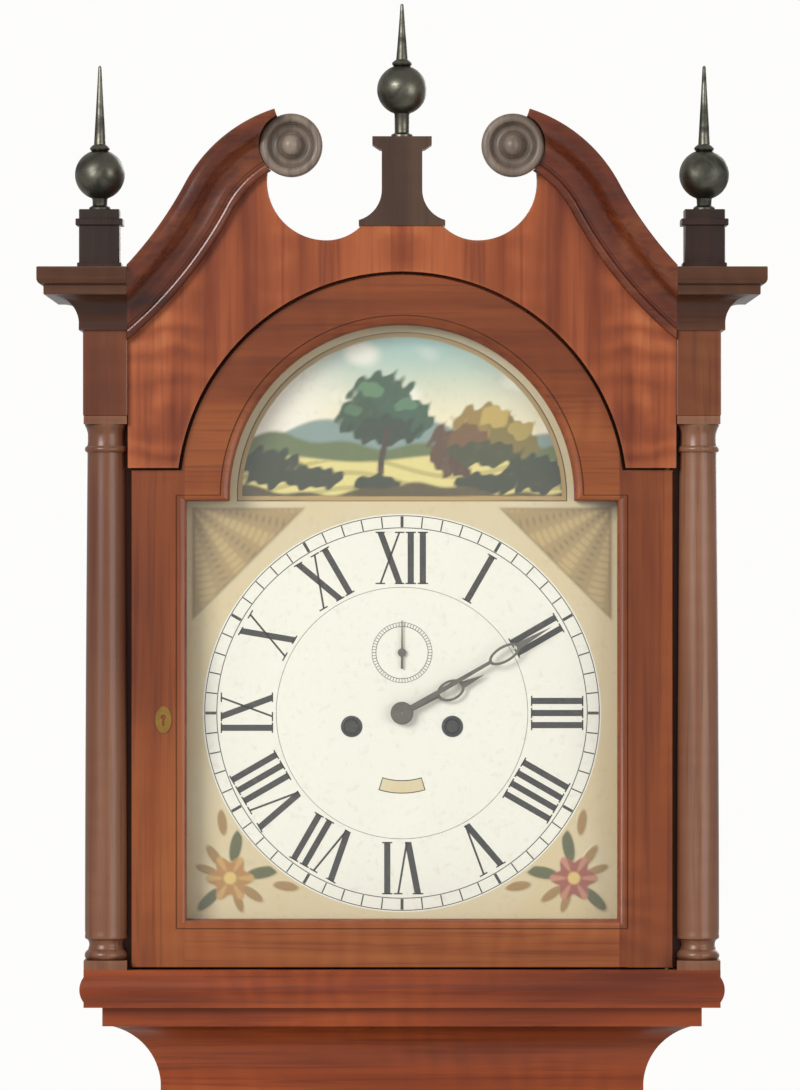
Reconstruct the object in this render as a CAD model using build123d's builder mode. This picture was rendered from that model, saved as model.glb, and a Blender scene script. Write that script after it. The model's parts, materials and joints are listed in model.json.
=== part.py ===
"""Longcase clock with a swan-neck hood, a painted break-arch dial and an eight-day striking movement.

Units are millimetres. X runs across the clock, Y runs from the front (negative) to the wall
(positive) and Z runs up from the floor. The origin is on the floor, under the middle of the case.
"""
import os
from math import asin, atan2, cos, degrees, hypot, pi, radians, sin, sqrt

from build123d import *

os.makedirs("parts", exist_ok=True)

# Clearances
slip = 0.3                  # between a moving piece and its seat
joint_gap = 1.5             # round a hung door
train_gap = 1.0             # between a turning wheel and a plate

# Trunk and backboard
wall_y = 137.0              # back face of the case, against the wall
backboard_t = 12.0
backboard_foot = 60.0       # height of the backboard's lower end above the floor
trunk_half = 175.0
trunk_front = -48.0
trunk_board_t = 16.0
trunk_frame_t = 22.0
column_notch = 22.0         # square notch at each front corner of the trunk
post_size = 22.0            # glued post behind each front corner
trunk_height = 921.0

# Throat, waist and base
throat_height = 65.0
throat_reach = 47.0
waist_height = 60.0
base_height = 460.0
base_reach = 54.0           # how far the base stands out from the trunk
base_board_t = 20.0
base_panel_margin = 48.0
base_panel_rise = 5.0
foot_height = 110.0
foot_reach = 16.0
foot_wall = 22.0
foot_wing = 92.0
side_wing = 66.0            # the side brackets are shorter than the front ones
base_moulding_height = 40.0
base_moulding_reach = 18.0

# Trunk door
door_half = 113.0
door_top_rail = 55.0
door_bottom_rail = 46.0
door_slab_t = 17.7
door_lip = 6.0
door_lip_t = 4.7
knuckle_r = 3.5

# Hood, whose side boards stand over the outer edge of the throat moulding
side_outer = trunk_half + throat_reach
side_board_t = 14.0
frieze_t = 14.0
hood_half = side_outer + frieze_t
hood_overhang = 56.0        # how far the hood's face stands in front of the trunk
hood_front = trunk_front - hood_overhang
arch_rise = 378.0           # height of the arch centre above the foot of the hood
hood_base_height = 28.0
hood_rail_reach = 16.5
hood_rail_nose = 5.0
hood_rail_lap = 38.0
hood_base_half = side_outer + hood_rail_reach
hood_base_front = hood_front - hood_rail_nose
hood_rail_inner = side_outer - hood_rail_lap
runner_gap = 1.0
block_width = 33.0
block_inner = hood_half - block_width
block_low = 60.0            # heights from here on are taken from the arch centre
cornice_low = 123.5
cornice_top = 169.5
cornice_reach = 33.0
fascia_height = 20.5
top_board_low = 140.0
top_board_t = 10.0
tympanum_set_back = 5.0
tympanum_front = hood_front + tympanum_set_back
tympanum_t = 20.0
arch_gap = 2.0
rosette_x = 82.0
rosette_z = 260.0
rosette_r = 23.5
rosette_t = 16.0
neck_width = 40.0
neck_turn_x = 160.0         # where the hollow of the swan neck turns into its round
neck_turn_z = 231.0
neck_turn_slope = 62.0
neck_first_slope = 38.0
neck_end_slope = 17.6
neck_hollow_r = 280.0
neck_round_r = 113.7
neck_reach = 30.0
scoop_low_x = 56.0          # foot of the scoop under each rosette
scoop_low_z = 190.0
scoop_end_x = 99.0
scoop_end_z = 243.0
scoop_r = 43.9
scoop_toe_r = 36.2
board_inset = 2.0           # the board stops short of the neck's upper edge
plinth_seat = 201.0
centre_plinth_top = 267.0
side_plinth_top = 213.0
centre_plinth_half = 15.0
plinth_flare = 32.0
cap_half = 22.0
side_plinth_half = 15.0
side_finial_x = hood_half - side_plinth_half + 3.0
ball_r = 18.5
column_r = 15.7
column_plinth_half = 16.0
column_x = hood_half - column_plinth_half - 0.5
column_y = hood_front + column_plinth_half
finial_y = column_y
capital_height = 22.0
column_base_height = 22.0

# Hood door
hood_door_gap = 2.5
hood_door_set_back = 11.0
hood_door_half = block_inner - hood_door_gap
hood_door_t = 20.0
hood_door_front = hood_front + hood_door_set_back
hood_door_shoulder = 20.0
hood_door_arch_r = 165.0
stile_width = 39.5
bottom_rail_width = 34.0
arch_rail_width = 36.0
glass_t = 2.0
glass_depth = 11.0
glass_front = hood_door_front + glass_depth
glass_rebate = 6.0
strap_half = 4.0
door_pivot_x = hood_door_half - strap_half
door_pivot_y = hood_door_front + strap_half
door_pin_r = 2.5
mask_gap = 2.0
mask_front = hood_door_front + hood_door_t + mask_gap
mask_t = 6.0

# Dial
dial_drop = 160.6           # from the arch centre down to the centre of the hands
dial_lap = 4.0              # how far the dial runs on behind the mask
dial_half = hood_door_half - stile_width + dial_lap
dial_low = 325.0            # bottom of the dial below the arch centre
dial_shoulder = 5.0
dial_arch_r = 134.0
dial_front = mask_front + mask_t + mask_gap
dial_t = 1.5
hand_gap = 1.6
dial_foot_r = 3.0

# Movement
plate_half = 76.0
plate_low = 60.0            # below the centre of the hands
plate_high = 88.0
plate_t = 3.0
plate_front = -32.0
plate_space = 64.0          # between the two plates
pillar_r = 5.0
arbor_r = 1.2
pivot_r = 0.8
wheel_t = 2.0
crossing_rim = 3.2          # rim left outside the spokes of a wheel
barrel_r = 24.1
barrel_flange_r = 28.0
barrel_x = 37.5
barrel_drop = 10.0
winding_r = 4.4
line_r = 0.9
seatboard_t = 22.0
seatboard_front = -40.0
seatboard_back = 42.0
bell_r = 45.0
bell_depth = 27.0
bell_wall = 2.0
bell_x = -2.0
bell_rise = 135.0

# Pendulum and weights
pallet_rise = 69.0
pendulum_y = 56.0
pendulum_length = 994.0
rod_r = 2.5
bob_r = 55.0
bob_t = 28.0
weight_r = 29.0
weight_height = 300.0
weight_foot = 160.0
weight_y = 9.0
pulley_rise = 60.0          # pulley centre above the top of the weight

# Heights worked out from the sizes above
base_low = foot_height
waist_low = base_low + base_height
trunk_low = waist_low + waist_height
trunk_top = trunk_low + trunk_height
hood_low = trunk_top + throat_height
hood_sill = hood_low + hood_base_height
arch_z = hood_low + arch_rise
dial_z = arch_z - dial_drop
seat_top = dial_z - plate_low
seat_low = seat_top - seatboard_t
inner_back = wall_y - backboard_t
base_half = trunk_half + base_reach
base_front_y = trunk_front - base_reach
post_inner = trunk_half - trunk_board_t - post_size
notch_x = trunk_half - column_notch
notch_y = trunk_front + trunk_frame_t
plate_inner = plate_front + plate_t
plate_back = plate_inner + plate_space
rear_face = plate_back + plate_t
pallet_z = dial_z + pallet_rise
line_drop_r = barrel_r + line_r
weight_top = weight_foot + weight_height
pulley_z = weight_top + pulley_rise
stirrup_foot = pulley_z - line_drop_r - 6.0
hood_back = inner_back - slip


def front_plane(y):
    """The upright plane at depth y: its x is the clock's X, its y the clock's Z, facing forward."""
    return Plane.XZ.offset(-y)


def add_board(x, y, z, mode=Mode.ADD):
    """Adds a plain board that fills the given spans of X, Y and Z."""
    with Locations(((x[0] + x[1]) / 2, (y[0] + y[1]) / 2, (z[0] + z[1]) / 2)):
        Box(x[1] - x[0], y[1] - y[0], z[1] - z[0], mode=mode)


def add_round(x, z, radius, front, back, mode=Mode.ADD):
    """Adds a round bar that lies along Y between two depths."""
    with BuildSketch(front_plane(back)) as disc:
        with Locations((x, z)):
            Circle(radius)
    extrude(disc.sketch, amount=back - front, mode=mode)


def add_post(x, y, radius, low, high, mode=Mode.ADD):
    """Adds a round bar that stands upright between two heights."""
    with BuildSketch(Plane.XY.offset(low)) as disc:
        with Locations((x, y)):
            Circle(radius)
    extrude(disc.sketch, amount=high - low, mode=mode)


def add_bar(start, end, width, front, back, mode=Mode.ADD):
    """Adds a flat bar between two points of X and Z, as wide as given and between two depths."""
    length = hypot(end[0] - start[0], end[1] - start[1])
    angle = degrees(atan2(end[1] - start[1], end[0] - start[0]))
    middle = ((start[0] + end[0]) / 2, (start[1] + end[1]) / 2)
    with BuildSketch(front_plane(back)) as bar:
        with Locations(middle):
            Rectangle(length, width, rotation=angle)
    extrude(bar.sketch, amount=back - front, mode=mode)


def add_wrapped(half_width, front, back, outline):
    """Sweeps an outline of (out, height) round the front and both sides of a box, mitred."""
    with BuildLine() as path:
        Polyline(
            (-half_width, back, 0),
            (-half_width, front, 0),
            (half_width, front, 0),
            (half_width, back, 0),
        )
    section_plane = Plane(origin=(-half_width, back, 0), x_dir=(-1, 0, 0), z_dir=(0, 1, 0))
    with BuildSketch(section_plane) as section:
        with BuildLine():
            outline()
        make_face()
    sweep(section.sketch, path=path.wires()[0], transition=Transition.RIGHT)


def add_wheel(x, z, teeth, module, turn, front, thickness, tip=0.8, root=1.3):
    """Adds a toothed wheel whose first tooth points at the angle turn, counted anticlockwise."""
    pitch_r = teeth * module / 2
    corners = []
    for index in range(teeth):
        angle = radians(turn + 360 * index / teeth)
        half_pitch = pi / teeth
        outer = pitch_r + tip * module
        inner = pitch_r - root * module
        corners.append((outer * cos(angle), outer * sin(angle)))
        corners.append((inner * cos(angle + half_pitch), inner * sin(angle + half_pitch)))
    with BuildSketch(front_plane(front + thickness)) as gear:
        with Locations((x, z)):
            Polygon(*corners, align=None)
    extrude(gear.sketch, amount=thickness)


def cut_crossings(x, z, teeth, module, hub, spokes, front, thickness):
    """Cuts the open sectors between the spokes of a wheel."""
    outer = teeth * module / 2 - crossing_rim
    with BuildSketch(front_plane(front + thickness)) as gaps:
        with Locations((x, z)):
            Circle(outer)
            Circle(hub, mode=Mode.SUBTRACT)
        for index in range(spokes):
            with Locations((x, z)):
                Rectangle(outer + 1, 2.4, rotation=360 * index / spokes, align=(Align.MIN, Align.CENTER),
                          mode=Mode.SUBTRACT)
    extrude(gaps.sketch, amount=thickness, mode=Mode.SUBTRACT)


def next_turn(centre, turn, teeth, next_centre, next_teeth):
    """Angle of the first tooth of a wheel that meshes with another wheel."""
    way = degrees(atan2(next_centre[1] - centre[1], next_centre[0] - centre[0]))
    share = ((way - turn) / (360 / teeth)) % 1
    return way + 180 + (share + 0.5) * 360 / next_teeth


def mesh_module(centre, teeth, next_centre, next_teeth):
    """Module that brings two wheels on the given centres into mesh."""
    distance = hypot(next_centre[0] - centre[0], next_centre[1] - centre[1])
    return 2 * distance / (teeth + next_teeth)


def save(piece, label):
    """Labels a finished piece and writes it to its own file."""
    piece.part.label = label
    export_step(piece.part, f"parts/{label}.step")


# Backboard with its ears behind the hood and the base
with BuildPart() as backboard:
    board_top = arch_z + top_board_low - slip
    add_board((-trunk_half, trunk_half), (inner_back, wall_y), (backboard_foot, board_top))
    for side in (-1, 1):
        ear = sorted((side * trunk_half, side * side_outer))
        add_board(ear, (inner_back, wall_y), (hood_low, arch_z + block_low))
        base_ear = sorted((side * trunk_half, side * base_half))
        add_board(base_ear, (inner_back, wall_y), (base_low, waist_low))
save(backboard, "backboard")

# Trunk side boards, which run up as cheeks under the seatboard, their corner posts and hood runners
runner_width = hood_rail_inner - trunk_half - runner_gap
with BuildPart() as trunk_sides:
    for side in (-1, 1):
        board = sorted((side * trunk_half, side * (trunk_half - trunk_board_t)))
        post = sorted((side * post_inner, side * (trunk_half - trunk_board_t)))
        runner = sorted((side * trunk_half, side * (trunk_half + runner_width)))
        add_board(board, (notch_y, inner_back), (waist_low, seat_low))
        add_board(post, (notch_y, notch_y + post_size), (waist_low, trunk_top))
        add_board(runner, (notch_y, inner_back), (hood_low, hood_sill))
save(trunk_sides, "trunk_sides")

# Trunk front frame: two stiles and two rails round the door
frame_inner = door_half + joint_gap
door_high = trunk_top - door_top_rail - joint_gap
door_low = trunk_low + door_bottom_rail + joint_gap
with BuildPart() as trunk_front_frame:
    with BuildSketch(front_plane(notch_y)):
        with Locations((0, (waist_low + trunk_top) / 2)):
            Rectangle(2 * notch_x, trunk_top - waist_low)
        with Locations((0, (door_low + door_high) / 2)):
            Rectangle(2 * frame_inner, door_high - door_low + 2 * joint_gap, mode=Mode.SUBTRACT)
    extrude(amount=trunk_frame_t)
save(trunk_front_frame, "trunk_front_frame")

# Fluted quarter columns in the front corners of the trunk
quarter_r = column_notch - 0.6
quarter_cap = 34.0
flute_r = 1.9
flute_angles = [12 + 16.5 * index for index in range(5)]
with BuildPart() as trunk_quarter_columns:
    for side in (-1, 1):
        corner = (side * notch_x, notch_y)
        pillar_span = sorted((corner[0], corner[0] + side * column_notch))
        for low in (trunk_low + 2, trunk_top - quarter_cap - 2):
            add_board(pillar_span, (notch_y - column_notch, notch_y), (low, low + quarter_cap))
        with BuildSketch(Plane.XY.offset(trunk_low + 2 + quarter_cap)) as shaft:
            with Locations(corner):
                Circle(quarter_r)
            with Locations((corner[0] + side * column_notch / 2, corner[1] - column_notch / 2)):
                Rectangle(column_notch, column_notch, mode=Mode.INTERSECT)
            for angle in flute_angles:
                away = radians(angle)
                flute = (corner[0] + side * quarter_r * cos(away), corner[1] - quarter_r * sin(away))
                with Locations(flute):
                    Circle(flute_r, mode=Mode.SUBTRACT)
        extrude(shaft.sketch, amount=trunk_height - 4 - 2 * quarter_cap)
save(trunk_quarter_columns, "trunk_quarter_columns")


def throat_outline():
    """Bead at the foot, deep cove and square top edge."""
    start = (0, trunk_top)
    Polyline(start, (5, trunk_top), (5, trunk_top + 7))
    cove_end = (throat_reach - 6, hood_low - 14)
    ThreePointArc((5, trunk_top + 7), (14, trunk_top + 32), cove_end)
    Polyline(cove_end, (throat_reach, hood_low - 14), (throat_reach, hood_low), (0, hood_low), start)


# Throat moulding that carries the hood
with BuildPart() as throat_moulding:
    add_wrapped(trunk_half, trunk_front, inner_back, throat_outline)
save(throat_moulding, "throat_moulding")


def waist_outline():
    """Small bead, cove and rounded lower edge where the trunk meets the base."""
    start = (0, trunk_low)
    Polyline(start, (5, trunk_low), (5, trunk_low - 8))
    cove_end = (base_reach - 12, waist_low + 16)
    nose = (base_reach - 6, waist_low + 16)
    ThreePointArc((5, trunk_low - 8), (15, trunk_low - 32), cove_end)
    Line(cove_end, nose)
    ThreePointArc(nose, (base_reach + 3, waist_low + 9), (base_reach, waist_low))
    Polyline((base_reach, waist_low), (0, waist_low), start)


# Waist moulding between trunk and base
with BuildPart() as waist_moulding:
    add_wrapped(trunk_half, trunk_front, inner_back, waist_outline)
save(waist_moulding, "waist_moulding")

# Base: a front board with a raised panel and two side boards
with BuildPart() as base_box:
    add_board((-base_half, base_half), (base_front_y, base_front_y + base_board_t), (base_low, waist_low))
    for side in (-1, 1):
        board = sorted((side * base_half, side * (base_half - base_board_t)))
        add_board(board, (base_front_y + base_board_t, inner_back), (base_low, waist_low))
    panel_low = base_low + base_moulding_height + base_panel_margin
    panel_high = waist_low - base_panel_margin
    with BuildSketch(front_plane(base_front_y)):
        with Locations((0, (panel_low + panel_high) / 2)):
            Rectangle(2 * (base_half - base_panel_margin), panel_high - panel_low)
    extrude(amount=base_panel_rise, taper=35)
save(base_box, "base_box")


def base_moulding_outline():
    """Square foot and an ogee that dies into the base."""
    top = base_low + base_moulding_height
    start = (0, base_low)
    edge = (base_moulding_reach, base_low + 18)
    Polyline(start, (base_moulding_reach, base_low), edge)
    middle = (base_moulding_reach * 0.6, base_low + 28)
    ThreePointArc(edge, (base_moulding_reach - 1.5, base_low + 24.5), middle)
    ThreePointArc(middle, (5, base_low + 31.5), (3, top - 2))
    Polyline((3, top - 2), (3, top), (0, top), start)


# Moulding round the foot of the base
with BuildPart() as base_moulding:
    add_wrapped(base_half, base_front_y, inner_back, base_moulding_outline)
save(base_moulding, "base_moulding")


def foot_outline():
    """Ogee section of a bracket foot: full at the top, drawn in at the ankle."""
    inner = foot_reach - foot_wall - 4
    start = (inner, 0)
    Polyline(start, (inner, foot_height), (foot_reach, foot_height))
    waist = (foot_reach - 6, foot_height * 0.5)
    ThreePointArc((foot_reach, foot_height), (foot_reach + 1.2, foot_height * 0.75), waist)
    ThreePointArc(waist, (foot_reach - 12.5, foot_height * 0.24), (foot_reach - 8, 0))
    Line((foot_reach - 8, 0), start)


def cut_bracket(plane, half_gap, depth):
    """Cuts the shaped opening between two bracket feet through the whole depth."""
    high = foot_height * 0.66
    with BuildSketch(plane) as arch:
        with BuildLine():
            step = (-half_gap + 34, high)
            Polyline((0, -1), (-half_gap, -1), (-half_gap, 12))
            ThreePointArc((-half_gap, 12), (-half_gap + 8, high * 0.62), step)
            Polyline(step, (step[0] + 10, high), (step[0] + 10, high + 12), (0, high + 12), (0, -1))
        make_face()
        mirror(about=Plane.YZ)
    extrude(arch.sketch, amount=depth, both=True, mode=Mode.SUBTRACT)


# Ogee bracket feet: a mitred pair of brackets at each front corner and one at the back of each side
with BuildPart() as bracket_feet:
    add_wrapped(base_half, base_front_y, inner_back, foot_outline)
    front_outer = base_half + foot_reach
    side_middle = (base_front_y - foot_reach + inner_back) / 2
    side_half = (inner_back - base_front_y + foot_reach) / 2
    cut_bracket(front_plane(base_front_y), front_outer - foot_wing, 2 * foot_wall)
    side_plane = Plane(origin=(0, side_middle, 0), x_dir=(0, 1, 0), z_dir=(1, 0, 0))
    cut_bracket(side_plane, side_half - side_wing, 2 * base_half)
save(bracket_feet, "bracket_feet")

# Seatboard that the movement stands on, with its slots for the lines
with BuildPart() as seatboard:
    seat_half = trunk_half
    add_board((-seat_half, seat_half), (seatboard_front, seatboard_back), (seat_low, seat_top))
    for side in (-1, 1):
        for away in (-line_drop_r, line_drop_r):
            add_post(side * barrel_x + away, weight_y, 3 * line_r, seat_low, seat_top, Mode.SUBTRACT)
save(seatboard, "seatboard")

# Trunk door with a moulded lip that laps the frame
slab_front = trunk_front - slip
with BuildPart() as trunk_door:
    add_board((-door_half, door_half), (slab_front, slab_front + door_slab_t), (door_low, door_high))
    with BuildSketch(front_plane(slab_front)):
        with Locations((0, (door_low + door_high) / 2)):
            Rectangle(2 * (door_half + door_lip), door_high - door_low + 2 * door_lip)
    extrude(amount=door_lip_t)
    lip_edges = trunk_door.faces().sort_by(Axis.Y)[0].edges()
    chamfer(lip_edges, length=door_lip_t * 0.65)
save(trunk_door, "trunk_door")

# Trunk door fittings: two hinge leaves with knuckles, lock, bolt and escutcheon
hinge_x = door_half + door_lip + 2.5
hinge_y = slab_front - door_lip_t - 0.6
hinge_length = 62.0
hinge_heights = (door_low + 110, door_high - 110)
knuckle_length = (hinge_length - 2) / 3
lock_z = (door_low + door_high) / 2 + 60
lip_front = slab_front - door_lip_t
with BuildPart() as trunk_door_fittings:
    for height in hinge_heights:
        for end in (-1, 1):
            middle = height + end * (knuckle_length + 1)
            add_post(hinge_x, hinge_y, knuckle_r, middle - knuckle_length / 2, middle + knuckle_length / 2)
            add_board((hinge_x - 14, hinge_x), (lip_front - 1.2, lip_front),
                      (middle - knuckle_length / 2, middle + knuckle_length / 2))
        add_post(hinge_x, hinge_y, knuckle_r * 0.45, height - hinge_length / 2, height + hinge_length / 2)
    add_board((-door_half + 4, -door_half + 44), (slab_front + door_slab_t, slab_front + door_slab_t + 9),
              (lock_z - 26, lock_z + 26))
    with BuildSketch(front_plane(lip_front)):
        with Locations((-door_half + 22, lock_z)):
            Ellipse(9, 15)
            with Locations((0, 3)):
                Circle(2.4, mode=Mode.SUBTRACT)
            with Locations((0, -2)):
                Rectangle(2.2, 9, mode=Mode.SUBTRACT)
    extrude(amount=1.0)
save(trunk_door_fittings, "trunk_door_fittings")

# Hinge leaves on the trunk frame, each with the middle knuckle
with BuildPart() as trunk_hinge_leaves:
    for height in hinge_heights:
        span = (height - knuckle_length / 2, height + knuckle_length / 2)
        add_post(hinge_x, hinge_y, knuckle_r, *span)
        add_board((hinge_x, hinge_x + 17), (hinge_y - 0.6, hinge_y + 0.6), span)
        add_board((hinge_x + 4.5, hinge_x + 17), (hinge_y - 0.6, trunk_front), span)
        add_post(hinge_x, hinge_y, knuckle_r * 0.45 + slip, *span, mode=Mode.SUBTRACT)
save(trunk_hinge_leaves, "trunk_hinge_leaves")


def hood_rail_outline():
    """Rail of the hood's base frame with a rounded nose and a small fillet above it."""
    out = hood_base_half - hood_rail_inner
    low = hood_low + slip
    start = (0, low)
    Polyline(start, (out - 3, low), (out - 3, low + 4))
    ThreePointArc((out - 3, low + 4), (out, (low + hood_sill) / 2), (out - 3, hood_sill - 5))
    Polyline((out - 3, hood_sill - 5), (out - 3, hood_sill), (0, hood_sill), start)


# Base frame of the hood, which slides on the throat moulding
with BuildPart() as hood_base_frame:
    rail_front = hood_base_front + hood_base_half - hood_rail_inner
    add_wrapped(hood_rail_inner, rail_front, hood_back, hood_rail_outline)
    add_post(door_pivot_x, door_pivot_y, door_pin_r + slip, hood_sill - 8, hood_sill, Mode.SUBTRACT)
save(hood_base_frame, "hood_base_frame")

# Hood side boards
block_back = mask_front
with BuildPart() as hood_sides:
    for side in (-1, 1):
        board = sorted((side * side_outer, side * (side_outer - side_board_t)))
        add_board(board, (block_back, hood_back), (hood_sill, arch_z + top_board_low))
save(hood_sides, "hood_sides")

# Corner blocks above the columns and the side friezes behind them
with BuildPart() as corner_blocks:
    for side in (-1, 1):
        block = sorted((side * block_inner, side * hood_half))
        frieze = sorted((side * side_outer, side * hood_half))
        add_board(block, (hood_front, block_back), (arch_z + block_low, arch_z + cornice_top - 1.5))
        add_board(frieze, (block_back, hood_back), (arch_z + block_low, arch_z + cornice_top - 1.5))
save(corner_blocks, "corner_blocks")


def neck_edge(slope, inset=0.0):
    """Point of the left swan neck's upper edge where it climbs at the given slope, in degrees."""
    tilt = radians(neck_turn_slope)
    way = radians(slope)
    turn_point = Vector(-neck_turn_x, arch_z + neck_turn_z)
    hollow_centre = turn_point + Vector(-sin(tilt), cos(tilt)) * neck_hollow_r
    round_centre = turn_point + Vector(sin(tilt), -cos(tilt)) * neck_round_r
    hollow = hollow_centre + Vector(sin(way), -cos(way)) * (neck_hollow_r + inset)
    rounded = round_centre + Vector(-sin(way), cos(way)) * (neck_round_r - inset)
    return hollow, rounded


def neck_arcs(first_slope, inset=0.0, y=0.0, upright=False):
    """Draws the hollow arc and then the round arc of a swan neck."""
    points = [
        neck_edge(first_slope, inset)[0],
        neck_edge((first_slope + neck_turn_slope) / 2, inset)[0],
        neck_edge(neck_turn_slope, inset)[0],
        neck_edge((neck_end_slope + neck_turn_slope) / 2, inset)[1],
        neck_edge(neck_end_slope, inset)[1],
    ]
    if upright:
        points = [Vector(point.X, y, point.Y) for point in points]
    ThreePointArc(*points[:3])
    ThreePointArc(*points[2:])
    return points


scoop_low = Vector(-scoop_low_x, arch_z + scoop_low_z)
scoop_end = Vector(-scoop_end_x, arch_z + scoop_end_z)

# Slope of the scroll edge where the board meets the corner block
hollow_centre_x = -neck_turn_x - neck_hollow_r * sin(radians(neck_turn_slope))
board_slope = degrees(asin((-block_inner - hollow_centre_x) / (neck_hollow_r + board_inset)))

# Tympanum board, cut to the scroll outline above and to the door arch below
with BuildPart() as tympanum_board:
    with BuildSketch(front_plane(tympanum_front + tympanum_t)):
        with BuildLine():
            bottom = arch_z + hood_door_shoulder + joint_gap
            seat = (-plinth_flare + 2, arch_z + plinth_seat)
            edge = neck_arcs(board_slope, board_inset)
            Polyline((0, bottom), (-block_inner, bottom), edge[0])
            Polyline(edge[-1], (-rosette_x, arch_z + rosette_z), scoop_end)
            RadiusArc(scoop_end, scoop_low, -scoop_r)
            RadiusArc(scoop_low, seat, -scoop_toe_r)
            Polyline(seat, (0, arch_z + plinth_seat), (0, bottom))
        make_face()
        with Locations((-rosette_x, arch_z + rosette_z)):
            Circle(rosette_r - 1)
        mirror(about=Plane.YZ)
        with Locations((0, arch_z)):
            Circle(hood_door_arch_r + arch_gap, mode=Mode.SUBTRACT)
    extrude(amount=tympanum_t)
    add_post(door_pivot_x, door_pivot_y, door_pin_r + slip, bottom, bottom + 8, Mode.SUBTRACT)
save(tympanum_board, "tympanum_board")


def neck_section():
    """Section of the swan neck, drawn 40 wide and 30 proud: top fillet, cyma and a bead below."""
    def at(across, proud):
        return across * neck_width / 40, proud * neck_reach / 30

    Polyline(at(0, 0), at(0, 30), at(3, 30))
    ThreePointArc(at(3, 30), at(10, 27), at(16, 19))
    ThreePointArc(at(16, 19), at(22, 11), at(31, 8))
    Polyline(at(31, 8), at(31, 7), at(33, 7))
    ThreePointArc(at(33, 7), at(36.5, 8.5), at(40, 5))
    Polyline(at(40, 5), at(40, 0), at(0, 0))


# Swan-neck mouldings on the face of the tympanum
with BuildPart() as swan_neck_mouldings:
    with BuildLine() as neck_line:
        neck_points = neck_arcs(neck_first_slope, 0.0, tympanum_front, True)
    neck_wire = neck_line.wires()[0]
    way = neck_wire % 0
    inward = Vector(way.Z, 0, -way.X)
    with BuildSketch(Plane(origin=neck_points[0], x_dir=inward, z_dir=-way)):
        with BuildLine():
            neck_section()
        make_face()
    sweep(path=neck_wire)
    cut_front = tympanum_front - neck_reach - 1
    add_board((-hood_half - neck_width, -block_inner), (cut_front, tympanum_front),
              (arch_z, arch_z + cornice_top + neck_width), Mode.SUBTRACT)
    add_round(-rosette_x, arch_z + rosette_z, rosette_r, cut_front, tympanum_front, Mode.SUBTRACT)
    mirror(about=Plane.YZ)
save(swan_neck_mouldings, "swan_neck_mouldings")

# Turned rosettes at the ends of the swan necks
with BuildPart() as scroll_rosettes:
    for side in (-1, 1):
        face = tympanum_front
        rim = rosette_r - 0.2
        proud = face - rosette_t * 0.7
        centre_plane = Plane(origin=(side * rosette_x, 0, arch_z + rosette_z))
        with BuildSketch(centre_plane) as turning:
            with BuildLine():
                Polyline((0, face), (rim, face), (rim, proud))
                ThreePointArc((rim, proud), (rim - 3.4, proud - 3), (rim - 6.8, proud))
                boss = rim - 14.8
                ThreePointArc((rim - 6.8, proud), (rim - 10.8, proud + 3), (boss, proud))
                shoulder = (boss * sin(pi / 4), proud - boss * cos(pi / 4))
                ThreePointArc((boss, proud), shoulder, (0, proud - boss))
                Line((0, proud - boss), (0, face))
            make_face()
        revolve(turning.sketch, axis=Axis((side * rosette_x, 0, arch_z + rosette_z), (0, 1, 0)))
save(scroll_rosettes, "scroll_rosettes")


def cornice_outline():
    """Cornice section: deep cove under a fascia with a moulded top."""
    low = arch_z + cornice_low
    top = arch_z + cornice_top
    fascia = top - fascia_height
    start = (0, low)
    Polyline(start, (3, low), (3, low + 3))
    ThreePointArc((3, low + 3), (9, fascia - 6), (cornice_reach - 10, fascia))
    Polyline((cornice_reach - 10, fascia), (cornice_reach - 5, fascia), (cornice_reach - 5, fascia + 7))
    RadiusArc((cornice_reach - 5, fascia + 7), (cornice_reach, fascia + 12), -5)
    Polyline((cornice_reach, fascia + 12), (cornice_reach, top), (0, top), start)


# Cornice returns: along each side and across each corner block
with BuildPart() as cornice_mouldings:
    with BuildLine() as cornice_path:
        Polyline((-hood_half, hood_back, 0), (-hood_half, hood_front, 0), (-block_inner, hood_front, 0))
    cornice_plane = Plane(origin=(-hood_half, hood_back, 0), x_dir=(-1, 0, 0), z_dir=(0, 1, 0))
    with BuildSketch(cornice_plane):
        with BuildLine():
            cornice_outline()
        make_face()
    sweep(path=cornice_path.wires()[0], transition=Transition.RIGHT)
    mirror(about=Plane.YZ)
save(cornice_mouldings, "cornice_mouldings")

# Top board of the hood
with BuildPart() as hood_top_board:
    top_half = side_outer - side_board_t
    top_low = arch_z + top_board_low
    add_board((-top_half, top_half), (block_back, hood_back), (top_low, top_low + top_board_t))
save(hood_top_board, "hood_top_board")

# Plinths under the three finials
with BuildPart() as finial_plinths:
    seat_z = arch_z + plinth_seat
    top_z = arch_z + centre_plinth_top
    with BuildSketch(front_plane(finial_y + 13)):
        with BuildLine():
            Polyline((0, seat_z), (-plinth_flare, seat_z), (-plinth_flare, seat_z + 4))
            ThreePointArc((-plinth_flare, seat_z + 4), (-centre_plinth_half - 5, seat_z + 12),
                          (-centre_plinth_half, seat_z + 27))
            Polyline((-centre_plinth_half, seat_z + 27), (-centre_plinth_half, top_z - 9),
                     (-cap_half, top_z - 6), (-cap_half, top_z), (0, top_z), (0, seat_z))
        make_face()
        mirror(about=Plane.YZ)
    extrude(amount=26)
    side_seat = arch_z + cornice_top
    side_top = arch_z + side_plinth_top
    for side in (-1, 1):
        middle = side * side_finial_x
        half = side_plinth_half
        collar = side_plinth_half + 2.5
        add_board((middle - half, middle + half), (finial_y - half, finial_y + half), (side_seat, side_top))
        add_board((middle - collar, middle + collar), (finial_y - collar, finial_y + collar),
                  (side_top - 12, side_top - 7))
save(finial_plinths, "finial_plinths")


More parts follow.
